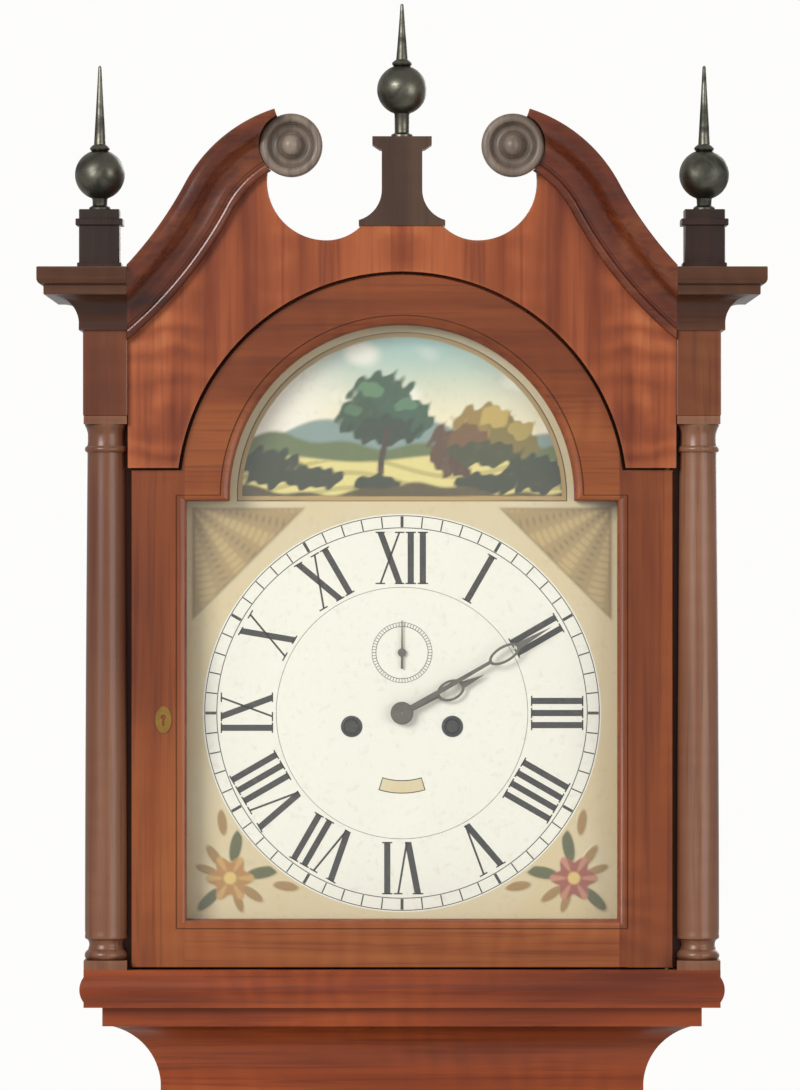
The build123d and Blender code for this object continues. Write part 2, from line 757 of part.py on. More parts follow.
def finial_half_section(seat, ball_centre, tip):
    """Half section of a finial: foot, neck, ball, collar and spire."""
    reach = sqrt(ball_r ** 2 - 6.0 ** 2)
    Polyline((0, seat), (8, seat), (8, seat + 2), (5.5, seat + 3), (6.0, ball_centre - reach))
    ThreePointArc((6.0, ball_centre - reach), (ball_r, ball_centre), (6.0, ball_centre + reach))
    collar = ball_centre + reach
    Polyline((6.0, collar), (7.5, collar + 2), (4.4, collar + 5))
    ThreePointArc((4.4, collar + 5), (4.0, collar * 0.7 + tip * 0.3), (1.2, tip - 1))
    Polyline((1.2, tip - 1), (0, tip), (0, seat))


# Ball-and-spire finials
finial_specs = (
    (-side_finial_x, side_plinth_top, 239.0, 320.0),
    (0.0, centre_plinth_top, 302.0, 366.0),
    (side_finial_x, side_plinth_top, 239.0, 320.0),
)
with BuildPart() as finials:
    for middle, seat, ball_centre, tip in finial_specs:
        with BuildSketch(Plane(origin=(middle, finial_y, 0), x_dir=(1, 0, 0), z_dir=(0, -1, 0))) as turning:
            with BuildLine():
                finial_half_section(arch_z + seat, arch_z + ball_centre, arch_z + tip)
            make_face()
        revolve(turning.sketch, axis=Axis((middle, finial_y, 0), (0, 0, 1)))
save(finials, "finials")

# Front columns with turned bases and capitals
column_foot = hood_sill + column_base_height
column_head = arch_z + block_low - capital_height
with BuildPart() as hood_columns:
    for side in (-1, 1):
        axis_x = side * column_x
        span = (axis_x - column_plinth_half, axis_x + column_plinth_half)
        deep = (column_y - column_plinth_half, column_y + column_plinth_half)
        add_board(span, deep, (hood_sill, hood_sill + 7))
        add_board(span, deep, (column_head + capital_height - 6, column_head + capital_height))
        with BuildSketch(Plane(origin=(axis_x, column_y, 0), x_dir=(1, 0, 0), z_dir=(0, -1, 0))) as turning:
            with BuildLine():
                Polyline((0, hood_sill + 7), (13, hood_sill + 7))
                ThreePointArc((13, hood_sill + 7), (15.8, hood_sill + 11), (13, hood_sill + 15))
                Polyline((13, hood_sill + 15), (13, column_foot), (column_r, column_foot + 6))
                Polyline((column_r, column_foot + 6), (column_r - 2, column_head - 5))
                ThreePointArc((column_r - 2, column_head - 5), (column_r, column_head - 2.5),
                              (column_r - 2, column_head))
                Polyline((column_r - 2, column_head), (column_r - 2.5, column_head + 8),
                         (column_r, column_head + capital_height - 6), (0, column_head + capital_height - 6),
                         (0, hood_sill + 7))
            make_face()
        revolve(turning.sketch, axis=Axis((axis_x, column_y, 0), (0, 0, 1)))
save(hood_columns, "hood_columns")


def arched_face(plane, half, low, shoulder, radius):
    """A break-arch face on the given plane, its heights taken from the arch centre."""
    with BuildSketch(plane) as face:
        spring = sqrt(radius ** 2 - shoulder ** 2)
        with BuildLine():
            Polyline((-spring, arch_z + shoulder), (-half, arch_z + shoulder), (-half, arch_z + low),
                     (half, arch_z + low), (half, arch_z + shoulder), (spring, arch_z + shoulder))
            ThreePointArc((spring, arch_z + shoulder), (0, arch_z + radius), (-spring, arch_z + shoulder))
        make_face()
    return face.sketch


# Hood door frame with its sight opening, inner chamfer and glass rebate
door_foot = hood_base_height + joint_gap - arch_rise
sight_half = hood_door_half - stile_width
sight_low = door_foot + bottom_rail_width
sight_shoulder = -2.0
sight_r = hood_door_arch_r - arch_rail_width
hood_door_back = hood_door_front + hood_door_t
with BuildPart() as hood_door_frame:
    back_plane = front_plane(hood_door_back)
    extrude(arched_face(back_plane, hood_door_half, door_foot, hood_door_shoulder, hood_door_arch_r),
            amount=hood_door_t)
    extrude(arched_face(back_plane, sight_half, sight_low, sight_shoulder, sight_r),
            amount=hood_door_t, mode=Mode.SUBTRACT)
    extrude(arched_face(back_plane, sight_half + glass_rebate, sight_low - glass_rebate,
                        sight_shoulder + glass_rebate, sight_r + glass_rebate),
            amount=hood_door_back - glass_front, mode=Mode.SUBTRACT)
    extrude(arched_face(front_plane(hood_door_front + 4), sight_half, sight_low, sight_shoulder, sight_r),
            amount=4, taper=-45, mode=Mode.SUBTRACT)
    for end in ((door_foot, door_foot + 1.2), (hood_door_shoulder - 1.2, hood_door_shoulder)):
        add_board((door_pivot_x - 30, hood_door_half), (door_pivot_y - 4, door_pivot_y + 4),
                  (arch_z + end[0], arch_z + end[1]), Mode.SUBTRACT)
save(hood_door_frame, "hood_door_frame")

# Glass of the hood door
with BuildPart() as hood_door_glass:
    inset = glass_rebate - slip
    extrude(arched_face(front_plane(glass_front + glass_t), sight_half + inset, sight_low - inset,
                        sight_shoulder + inset, sight_r + inset), amount=glass_t)
save(hood_door_glass, "hood_door_glass")

# Hood door fittings: pivot straps at the top and the foot, keyhole plate and lock
hood_lock_z = arch_z - 165
with BuildPart() as hood_door_fittings:
    strap = (door_pivot_x - 30 + slip, hood_door_half)
    strap_y = (door_pivot_y - 4 + slip, door_pivot_y + 4 - slip)
    foot_z = arch_z + door_foot
    head_z = arch_z + hood_door_shoulder
    add_board(strap, strap_y, (foot_z, foot_z + 1.2))
    add_board(strap, strap_y, (head_z - 1.2, head_z))
    add_post(door_pivot_x, door_pivot_y, door_pin_r, foot_z - joint_gap - 6, foot_z)
    add_post(door_pivot_x, door_pivot_y, door_pin_r, head_z, head_z + joint_gap + 6)
    with BuildSketch(front_plane(hood_door_front)):
        with Locations((-hood_door_half + stile_width / 2 + 4, hood_lock_z)):
            Ellipse(6, 10)
            with Locations((0, 2)):
                Circle(1.8, mode=Mode.SUBTRACT)
            with Locations((0, -1.5)):
                Rectangle(1.6, 6, mode=Mode.SUBTRACT)
    extrude(amount=0.8)
    add_board((-hood_door_half + 4, -sight_half - glass_rebate - 1), (hood_door_back, hood_door_back + 1.5),
              (hood_lock_z - 22, hood_lock_z + 22))
save(hood_door_fittings, "hood_door_fittings")

# Mask board behind the hood door, open to the dial
mask_half = side_outer - side_board_t
with BuildPart() as dial_mask:
    mask_plane = front_plane(mask_front + mask_t)
    mask_span = (hood_sill, arch_z + top_board_low)
    add_board((-mask_half, mask_half), (mask_front, mask_front + mask_t), mask_span)
    extrude(arched_face(mask_plane, sight_half - 1, sight_low + 1, sight_shoulder - 1, sight_r - 1),
            amount=mask_t, mode=Mode.SUBTRACT)
save(dial_mask, "dial_mask")

# Arbor places, measured from the centre of the hands
centre_at = (0.0, 0.0)
going_at = (barrel_x, -barrel_drop)
third_at = (10.6, 23.55)
escape_at = (0.0, 45.0)
pallet_at = (0.0, pallet_rise)
minute_at = (0.0, -28.8)
strike_at = (-barrel_x, -barrel_drop)
pin_at = (-42.0, 24.0)
gathering_at = (-28.0, 42.3)
warning_at = (-38.0, 57.6)
fly_at = (-25.5, 64.0)
hammer_at = (-60.0, 60.0)
pillar_places = ((-68.0, -50.0), (68.0, -50.0), (-50.0, 80.0), (66.0, 78.0))
foot_places = ((-64.0, -30.0), (64.0, -40.0), (-68.0, 40.0), (50.0, 80.0))

# Painted break-arch dial with its four feet
with BuildPart() as dial_plate:
    dial_back = dial_front + dial_t
    extrude(arched_face(front_plane(dial_back), dial_half, -dial_low, dial_shoulder, dial_arch_r),
            amount=dial_t)
    add_round(0, dial_z, 7.2, dial_front, dial_back, Mode.SUBTRACT)
    add_round(escape_at[0], dial_z + escape_at[1], 3.0, dial_front, dial_back, Mode.SUBTRACT)
    for side in (-1, 1):
        add_round(side * barrel_x, dial_z - barrel_drop, 6.0, dial_front, dial_back, Mode.SUBTRACT)
    for place in foot_places:
        add_round(place[0], dial_z + place[1], dial_foot_r, dial_back, plate_front)
save(dial_plate, "dial_plate")

# Movement plates with a hole for every pivot
through_front = ((centre_at, 3.6), (escape_at, arbor_r + slip), (going_at, winding_r + slip),
                 (strike_at, winding_r + slip), (minute_at, arbor_r + slip))
pivots = (third_at, pallet_at, pin_at, gathering_at, warning_at, fly_at, hammer_at)
plate_span = (dial_z - plate_low, dial_z + plate_high)
with BuildPart() as front_plate:
    add_board((-plate_half, plate_half), (plate_front, plate_inner), plate_span)
    for place, radius in through_front:
        add_round(place[0], dial_z + place[1], radius, plate_front, plate_inner, Mode.SUBTRACT)
    for place in pivots:
        add_round(place[0], dial_z + place[1], pivot_r + slip, plate_front, plate_inner, Mode.SUBTRACT)
save(front_plate, "front_plate")

with BuildPart() as back_plate:
    add_board((-plate_half, plate_half), (plate_back, rear_face), plate_span)
    for place in (centre_at, escape_at, third_at, pin_at, gathering_at, warning_at, fly_at, hammer_at):
        add_round(place[0], dial_z + place[1], pivot_r + slip, plate_back, rear_face, Mode.SUBTRACT)
    for place in (going_at, strike_at):
        add_round(place[0], dial_z + place[1], 3 + slip, plate_back, rear_face, Mode.SUBTRACT)
    add_round(pallet_at[0], pallet_z, 5.0, plate_back, rear_face, Mode.SUBTRACT)
save(back_plate, "back_plate")

# Turned pillars between the plates
with BuildPart() as plate_pillars:
    for place in pillar_places:
        height = dial_z + place[1]
        add_round(place[0], height, pillar_r, plate_inner, plate_inner + 8)
        add_round(place[0], height, pillar_r * 0.7, plate_inner + 8, plate_back - 8)
        add_round(place[0], height, pillar_r, plate_back - 8, plate_back)
save(plate_pillars, "plate_pillars")


def layer(depth):
    """Depth of a layer counted back from the inner face of the front plate."""
    return plate_inner + depth


def add_arbor(place, radius=arbor_r):
    """Adds an arbor between the plates, with a pivot at each end that runs in its plate."""
    height = dial_z + place[1]
    add_round(place[0], height, pivot_r, plate_front, rear_face)
    add_round(place[0], height, radius, plate_inner + train_gap, plate_back - train_gap)


# Teeth and modules of the going train
great_teeth = 96
centre_pinion_teeth = 8
centre_teeth = 60
third_pinion_teeth = 8
third_teeth = 56
escape_pinion_teeth = 7
great_module = mesh_module(going_at, great_teeth, centre_at, centre_pinion_teeth)
centre_module = mesh_module(centre_at, centre_teeth, third_at, third_pinion_teeth)
third_module = mesh_module(third_at, third_teeth, escape_at, escape_pinion_teeth)
great_turn = 0.0
centre_pinion_turn = next_turn(going_at, great_turn, great_teeth, centre_at, centre_pinion_teeth)
centre_turn = 0.0
third_pinion_turn = next_turn(centre_at, centre_turn, centre_teeth, third_at, third_pinion_teeth)
third_turn = 0.0
escape_pinion_turn = next_turn(third_at, third_turn, third_teeth, escape_at, escape_pinion_teeth)
pinion_tip = 0.6
pinion_root = 1.6

# Motion work under the dial
cannon_teeth = 36
minute_pinion_teeth = 6
hour_teeth = 72
cannon_module = mesh_module(centre_at, cannon_teeth, minute_at, cannon_teeth)
hour_module = mesh_module(minute_at, minute_pinion_teeth, centre_at, hour_teeth)
cannon_front = plate_front - 4.5
hour_front = plate_front - 10.5
minute_wheel_turn = next_turn(centre_at, 0.0, cannon_teeth, minute_at, cannon_teeth)
hour_turn = next_turn(minute_at, 0.0, minute_pinion_teeth, centre_at, hour_teeth)

hand_t = 1.0
seconds_hand_t = 0.6
seconds_hand_front = dial_front - hand_gap - hand_t
hour_hand_front = seconds_hand_front - hand_gap - 1.4
minute_hand_front = hour_hand_front - hand_gap - 1.3
winding_end = dial_front + 3.0

# Great wheel of the going train, loose on the barrel's arbor
with BuildPart() as going_great_wheel:
    add_wheel(going_at[0], dial_z + going_at[1], great_teeth, great_module, great_turn, layer(4),
              wheel_t)
    add_round(going_at[0], dial_z + going_at[1], winding_r + slip, layer(4), layer(4) + wheel_t,
              Mode.SUBTRACT)
save(going_great_wheel, "going_great_wheel")


def add_barrel(place):
    """Adds a barrel with its two flanges, ratchet and winding arbor."""
    height = dial_z + place[1]
    add_round(place[0], height, barrel_flange_r, layer(8), layer(9.5))
    add_round(place[0], height, barrel_r, layer(9.5), layer(42.5))
    add_round(place[0], height, barrel_flange_r, layer(42.5), layer(44))
    add_round(place[0], height, winding_r, winding_end, layer(8))
    add_round(place[0], height, 3.0, layer(44), rear_face)


with BuildPart() as going_barrel:
    add_barrel(going_at)
save(going_barrel, "going_barrel")

# Centre wheel with its pinion, arbor and cannon pinion, all turning once an hour
with BuildPart() as centre_wheel:
    add_round(0, dial_z, arbor_r, cannon_front, plate_back - 1)
    add_round(0, dial_z, pivot_r, plate_back - 1, rear_face)
    add_wheel(0, dial_z, centre_pinion_teeth, great_module, centre_pinion_turn, layer(2), 7,
              pinion_tip, pinion_root)
    add_wheel(0, dial_z, centre_teeth, centre_module, centre_turn, layer(51), wheel_t)
    cut_crossings(0, dial_z, centre_teeth, centre_module, 5, 4, layer(51), wheel_t)
    add_wheel(0, dial_z, cannon_teeth, cannon_module, 0.0, cannon_front, 2.5)
    add_round(0, dial_z, 3.0, minute_hand_front + 1, plate_inner + 1)
save(centre_wheel, "centre_wheel")

# Third wheel
with BuildPart() as third_wheel:
    add_arbor(third_at)
    add_wheel(third_at[0], dial_z + third_at[1], third_pinion_teeth, centre_module, third_pinion_turn,
              layer(50), 4, pinion_tip, pinion_root)
    add_wheel(third_at[0], dial_z + third_at[1], third_teeth, third_module, third_turn, layer(57), wheel_t)
    cut_crossings(third_at[0], dial_z + third_at[1], third_teeth, third_module, 5, 4, layer(57),
                  wheel_t)
save(third_wheel, "third_wheel")

# Escape wheel with thirty raked teeth
escape_teeth = 30
escape_r = 17.0
with BuildPart() as escape_wheel:
    height = dial_z + escape_at[1]
    add_round(escape_at[0], height, arbor_r, seconds_hand_front + seconds_hand_t, plate_back - 1)
    add_round(escape_at[0], height, pivot_r, plate_back - 1, rear_face)
    add_wheel(escape_at[0], height, escape_pinion_teeth, third_module, escape_pinion_turn, layer(55.5), 5.5,
              pinion_tip, pinion_root)
    raked = []
    for index in range(escape_teeth):
        base_angle = radians(360 * index / escape_teeth)
        lean_angle = base_angle + radians(4.0)
        raked.append((escape_r * cos(lean_angle), escape_r * sin(lean_angle)))
        raked.append(((escape_r - 4) * cos(base_angle), (escape_r - 4) * sin(base_angle)))
    with BuildSketch(front_plane(layer(38) + wheel_t)):
        with Locations((escape_at[0], height)):
            Polygon(*raked, align=None)
    extrude(amount=wheel_t)
    cut_crossings(escape_at[0], height, 2, escape_r - 5.5 + crossing_rim, 4, 4, layer(38), wheel_t)
save(escape_wheel, "escape_wheel")

# Minute wheel of the motion work
with BuildPart() as minute_wheel:
    height = dial_z + minute_at[1]
    add_round(0, height, arbor_r, hour_front - 1.5, plate_inner)
    add_wheel(0, height, cannon_teeth, cannon_module, minute_wheel_turn, cannon_front, 2.5)
    add_wheel(0, height, minute_pinion_teeth, hour_module, 0.0, hour_front - 1, 4, pinion_tip, pinion_root)
save(minute_wheel, "minute_wheel")

# Hour wheel with its pipe
with BuildPart() as hour_wheel:
    add_wheel(0, dial_z, hour_teeth, hour_module, hour_turn, hour_front, wheel_t)
    add_round(0, dial_z, 5.6, hour_hand_front + 1, hour_front + wheel_t)
    add_round(0, dial_z, 3.0 + slip, hour_hand_front, hour_front + wheel_t, Mode.SUBTRACT)
save(hour_wheel, "hour_wheel")


def hand_plane(front, thickness, clockwise, height=0.0):
    """Plane of a hand whose y points along the hand, turned clockwise from twelve o'clock."""
    angle = radians(clockwise)
    origin = (0, front + thickness, dial_z + height)
    return Plane(origin=origin, x_dir=(cos(angle), 0, -sin(angle)), z_dir=(0, -1, 0))


def add_hand(length, boss, loop_at, loop_length, loop_width, plane, bore):
    """Adds a pierced hand: boss, stem, open loop and pointed tip."""
    tip_at = loop_at + loop_length * 0.93
    with BuildSketch(plane) as hand:
        Circle(boss)
        Polygon((-2.2, 0), (2.2, 0), (1.1, loop_at), (-1.1, loop_at), align=None)
        with Locations((0, loop_at)):
            Ellipse(loop_width, loop_length)
            Ellipse(loop_width - 1.9, loop_length - 2.4, mode=Mode.SUBTRACT)
        Polygon((-2.6, tip_at), (2.6, tip_at), (0, length), align=None)
        Circle(bore, mode=Mode.SUBTRACT)
    extrude(hand.sketch, amount=hand_t)


# Hands, set to about ten past two
minute_length = 129.0
hour_length = 68.0
shown_minutes = 10
shown_hours = 2
minute_angle = 6 * shown_minutes
hour_angle = 30 * shown_hours + shown_minutes / 2
with BuildPart() as minute_hand:
    add_hand(minute_length, 7.5, 88, 13, 6.2, hand_plane(minute_hand_front, hand_t, minute_angle), 0.6)
save(minute_hand, "minute_hand")

with BuildPart() as hour_hand:
    add_hand(hour_length, 8.5, 40, 11, 7.6, hand_plane(hour_hand_front, hand_t, hour_angle), 3.0 + slip)
save(hour_hand, "hour_hand")

with BuildPart() as seconds_hand:
    with BuildSketch(hand_plane(seconds_hand_front, seconds_hand_t, 0, escape_at[1])):
        Circle(3.2)
        Polygon((-1.0, -12), (1.0, -12), (0.35, 24), (-0.35, 24), align=None)
    extrude(amount=seconds_hand_t)
save(seconds_hand, "seconds_hand")

# Teeth and modules of the strike train
strike_teeth = 84
pin_pinion_teeth = 8
pin_teeth = 64
gathering_pinion_teeth = 8
gathering_teeth = 56
warning_pinion_teeth = 7
warning_teeth = 48
fly_pinion_teeth = 6
strike_module = mesh_module(strike_at, strike_teeth, pin_at, pin_pinion_teeth)
pin_module = mesh_module(pin_at, pin_teeth, gathering_at, gathering_pinion_teeth)
gathering_module = mesh_module(gathering_at, gathering_teeth, warning_at, warning_pinion_teeth)
warning_module = mesh_module(warning_at, warning_teeth, fly_at, fly_pinion_teeth)
pin_pinion_turn = next_turn(strike_at, 0.0, strike_teeth, pin_at, pin_pinion_teeth)
gathering_pinion_turn = next_turn(pin_at, 0.0, pin_teeth, gathering_at, gathering_pinion_teeth)
warning_pinion_turn = next_turn(gathering_at, 0.0, gathering_teeth, warning_at, warning_pinion_teeth)
fly_pinion_turn = next_turn(warning_at, 0.0, warning_teeth, fly_at, fly_pinion_teeth)

# Great wheel of the strike train
with BuildPart() as strike_great_wheel:
    add_wheel(strike_at[0], dial_z + strike_at[1], strike_teeth, strike_module, 0.0, layer(4),
              wheel_t)
    add_round(strike_at[0], dial_z + strike_at[1], winding_r + slip, layer(4), layer(4) + wheel_t,
              Mode.SUBTRACT)
save(strike_great_wheel, "strike_great_wheel")

with BuildPart() as strike_barrel:
    add_barrel(strike_at)
save(strike_barrel, "strike_barrel")

# Pin wheel, whose pins lift the hammer
pin_count = 8
pin_circle_r = 15.5
lifting_pin_r = 1.1
with BuildPart() as pin_wheel:
    height = dial_z + pin_at[1]
    add_arbor(pin_at)
    add_wheel(pin_at[0], height, pin_pinion_teeth, strike_module, pin_pinion_turn, layer(3), 4,
              pinion_tip, pinion_root)
    add_wheel(pin_at[0], height, pin_teeth, pin_module, 0.0, layer(46), wheel_t)
    for index in range(pin_count):
        angle = radians(360 * index / pin_count + 10)
        pin_x = pin_at[0] + pin_circle_r * cos(angle)
        pin_z = height + pin_circle_r * sin(angle)
        add_round(pin_x, pin_z, lifting_pin_r, layer(46) + wheel_t, layer(46) + wheel_t + 3)
save(pin_wheel, "pin_wheel")

# Gathering wheel
with BuildPart() as gathering_wheel:
    height = dial_z + gathering_at[1]
    add_arbor(gathering_at)
    add_wheel(gathering_at[0], height, gathering_pinion_teeth, pin_module, gathering_pinion_turn,
              layer(45), 4, pinion_tip, pinion_root)
    add_wheel(gathering_at[0], height, gathering_teeth, gathering_module, 0.0, layer(54), wheel_t)
    cut_crossings(gathering_at[0], height, gathering_teeth, gathering_module, 4, 4, layer(54), wheel_t)
save(gathering_wheel, "gathering_wheel")

# Warning wheel
with BuildPart() as warning_wheel:
    height = dial_z + warning_at[1]
    add_arbor(warning_at)
    add_wheel(warning_at[0], height, warning_pinion_teeth, gathering_module, warning_pinion_turn,
              layer(53), 4, pinion_tip, pinion_root)
    add_wheel(warning_at[0], height, warning_teeth, warning_module, 0.0, layer(20), wheel_t)
save(warning_wheel, "warning_wheel")

# Fly, the air brake of the strike train
fly_r = 11.0
with BuildPart() as fly:
    height = dial_z + fly_at[1]
    add_arbor(fly_at, pivot_r)
    add_wheel(fly_at[0], height, fly_pinion_teeth, warning_module, fly_pinion_turn, layer(19), 4,
              pinion_tip, pinion_root)
    add_board((fly_at[0] - fly_r, fly_at[0] + fly_r), (layer(26), layer(50)), (height - 0.5, height + 0.5))
save(fly, "fly")

# Bell on its stand above the plates
bell_z = dial_z + bell_rise
bell_mouth = layer(20)
bell_crown = bell_mouth + bell_depth
with BuildPart() as bell:
    with BuildSketch(Plane(origin=(bell_x, 0, bell_z))) as half_bell:
        with BuildLine():
            Line((bell_r, bell_mouth), (bell_r - bell_wall, bell_mouth))
            ThreePointArc((bell_r - bell_wall, bell_mouth), (bell_r * 0.68, bell_crown - 8 - bell_wall),
                          (3, bell_crown - bell_wall))
            Line((3, bell_crown - bell_wall), (3, bell_crown))
            ThreePointArc((3, bell_crown), (bell_r * 0.71, bell_crown - 7), (bell_r, bell_mouth))
        make_face()
    revolve(half_bell.sketch, axis=Axis((bell_x, 0, bell_z), (0, 1, 0)))
    add_round(bell_x, bell_z, 3.0, bell_crown - bell_wall - 5, rear_face + 4)
    add_board((bell_x - 5, bell_x + 5), (rear_face, rear_face + 4), (dial_z + plate_high - 14, bell_z + 5))
save(bell, "bell")

# Hammer with its arbor, tail, arm and head
head_x = bell_x - bell_r - 8
with BuildPart() as hammer:
    height = dial_z + hammer_at[1]
    add_arbor(hammer_at)
    pin_way = hypot(hammer_at[0] - pin_at[0], hammer_at[1] - pin_at[1])
    reach = 1 - (pin_circle_r + lifting_pin_r + 1.8) / pin_way
    tail_x = hammer_at[0] + (pin_at[0] - hammer_at[0]) * reach
    tail_z = height + (pin_at[1] - hammer_at[1]) * reach
    add_bar((hammer_at[0], height), (tail_x, tail_z), 2.4, layer(49), layer(50.5))
    add_round(hammer_at[0], height, 4.0, layer(49), layer(50.5))
    add_bar((hammer_at[0], height), (hammer_at[0], bell_z + 4), 3.0, layer(26), layer(28))
    add_round(hammer_at[0], height, 4.0, layer(26), layer(28))
    with BuildSketch(front_plane(layer(31))):
        with Locations((head_x - 1, bell_z)):
            SlotOverall(16, 9)
    extrude(amount=8)
save(hammer, "hammer")

# Anchor with its arbor and crutch
pallet_clear = 1.3
anchor_span = 45.0
crutch_drop = 118.0
with BuildPart() as anchor:
    add_round(0, pallet_z, pivot_r, plate_front, plate_inner + 2)
    add_round(0, pallet_z, arbor_r, plate_inner + 1, rear_face + 11)
    escape_z = dial_z + escape_at[1]
    with BuildSketch(front_plane(layer(38) + wheel_t)):
        with Locations((0, escape_z)):
            Circle(escape_r + pallet_clear + 3.2)
            Circle(escape_r + pallet_clear, mode=Mode.SUBTRACT)
        with Locations((0, escape_z + escape_r * 1.2)):
            Rectangle(2 * escape_r * sin(radians(anchor_span)) + 6, escape_r * 0.95, mode=Mode.INTERSECT)
        with Locations((0, pallet_z)):
            Circle(4)
        with Locations((0, (pallet_z + escape_z + escape_r + pallet_clear) / 2)):
            Rectangle(4, pallet_z - escape_z - escape_r - pallet_clear)
    extrude(amount=wheel_t)
    add_bar((0, pallet_z), (0, pallet_z - crutch_drop), 3.0, rear_face + 2, rear_face + 4)
    add_round(0, pallet_z, 4.0, rear_face + 1, rear_face + 5)
    fork_inner = rod_r + slip
    fork_outer = fork_inner + 1.8
    fork_span = (pallet_z - crutch_drop - 2, pallet_z - crutch_drop + 2)
    for side in (-1, 1):
        prong = sorted((side * fork_inner, side * fork_outer))
        add_board(prong, (rear_face + 2, pendulum_y + rod_r + 3), fork_span)
    add_board((-fork_outer, fork_outer), (rear_face + 2, rear_face + 4), fork_span)
save(anchor, "anchor")

# Back cock that carries the pallet arbor and hangs the pendulum
cock_y = rear_face + 9
with BuildPart() as back_cock:
    add_board((-30, 30), (cock_y, cock_y + 3), (pallet_z - 7, pallet_z + 13))
    for side in (-1, 1):
        add_round(side * 25, pallet_z + 3, 4.0, rear_face, cock_y)
    add_round(0, pallet_z, arbor_r + slip, cock_y, cock_y + 3, Mode.SUBTRACT)
    add_board((-6, 6), (cock_y + 3, pendulum_y + 6), (pallet_z + 5, pallet_z + 9))
save(back_cock, "back_cock")

# Pendulum: suspension spring, rod and rating nut
bob_z = pallet_z - pendulum_length
with BuildPart() as pendulum_rod:
    add_board((-0.25, 0.25), (pendulum_y - 4, pendulum_y + 4), (pallet_z - 18, pallet_z + 5 - slip))
    add_board((-3, 3), (pendulum_y - 5, pendulum_y + 5), (pallet_z - 28, pallet_z - 18))
    add_post(0, pendulum_y, rod_r, bob_z - bob_r - 30, pallet_z - 28)
    with BuildSketch(Plane.XY.offset(bob_z - bob_r - 12)):
        with Locations((0, pendulum_y)):
            RegularPolygon(9, 12)
    extrude(amount=8)
save(pendulum_rod, "pendulum_rod")

with BuildPart() as pendulum_bob:
    with BuildSketch(Plane(origin=(0, pendulum_y, bob_z))) as lens:
        with BuildLine():
            half = bob_t / 2
            Line((0, -half), (0, half))
            ThreePointArc((0, half), (bob_r * 0.6, half * 0.72), (bob_r, 1.5))
            Line((bob_r, 1.5), (bob_r, -1.5))
            ThreePointArc((bob_r, -1.5), (bob_r * 0.6, -half * 0.72), (0, -half))
        make_face()
    revolve(lens.sketch, axis=Axis((0, 0, bob_z), (0, 1, 0)))
    add_post(0, pendulum_y, rod_r + 0.1, bob_z - bob_r - 1, bob_z + bob_r + 1, Mode.SUBTRACT)
save(pendulum_bob, "pendulum_bob")


def add_weight(x):
    """Adds a cast weight with rounded ends and its hook."""
    with BuildSketch(Plane(origin=(x, weight_y, 0), x_dir=(1, 0, 0), z_dir=(0, -1, 0))) as turning:
        with BuildLine():
            Polyline((0, weight_foot), (weight_r - 6, weight_foot))
            side_low = (weight_r, weight_foot + 6)
            side_high = (weight_r, weight_top - 10)
            ThreePointArc((weight_r - 6, weight_foot), (weight_r - 1.8, weight_foot + 1.8), side_low)
            Line(side_low, side_high)
            ThreePointArc(side_high, (weight_r - 6, weight_top - 2.5), (8, weight_top))
            Polyline((8, weight_top), (0, weight_top), (0, weight_foot))
        make_face()
    revolve(turning.sketch, axis=Axis((x, weight_y, 0), (0, 0, 1)))
    add_post(x, weight_y, 2.5, weight_top, stirrup_foot)


def add_pulley(x):
    """Adds a grooved pulley in its stirrup."""
    with BuildSketch(Plane(origin=(x, weight_y, pulley_z))) as half_pulley:
        with BuildLine():
            rim = line_drop_r + 2
            groove = line_drop_r - line_r
            Polyline((0, -3), (rim, -3), (rim, -2), (groove, -0.6), (groove, 0.6), (rim, 2), (rim, 3),
                     (0, 3), (0, -3))
        make_face()
    revolve(half_pulley.sketch, axis=Axis((x, 0, pulley_z), (0, 1, 0)))
    for side in (-1, 1):
        cheek = sorted((weight_y + side * 3.2, weight_y + side * 4.7))
        add_board((x - 4, x + 4), cheek, (stirrup_foot, pulley_z + 5))
    add_board((x - 4, x + 4), (weight_y - 4.7, weight_y + 4.7), (stirrup_foot, stirrup_foot + 3))
    add_round(x, pulley_z, 2.0, weight_y - 5, weight_y + 5)


def add_line(x):
    """Adds the two falls of a line: one from the barrel, one from its tie under the seatboard."""
    add_post(x - line_drop_r, weight_y, line_r, pulley_z, dial_z - barrel_drop)
    add_post(x + line_drop_r, weight_y, line_r, pulley_z, seat_top)


for side, name in ((1, "going"), (-1, "strike")):
    with BuildPart() as weight:
        add_weight(side * barrel_x)
    save(weight, f"{name}_weight")
    with BuildPart() as pulley:
        add_pulley(side * barrel_x)
    save(pulley, f"{name}_pulley")
    with BuildPart() as line:
        add_line(side * barrel_x)
    save(line, f"{name}_line")
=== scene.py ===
"""Looks of a longcase clock with a swan-neck hood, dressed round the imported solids.

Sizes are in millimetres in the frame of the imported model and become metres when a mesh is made.
X runs across the clock, Y from the front (negative) to the wall and Z up from the floor.
"""
import json
import logging
from dataclasses import dataclass
from enum import Enum
from math import atan2, cos, pi, radians, sin, sqrt

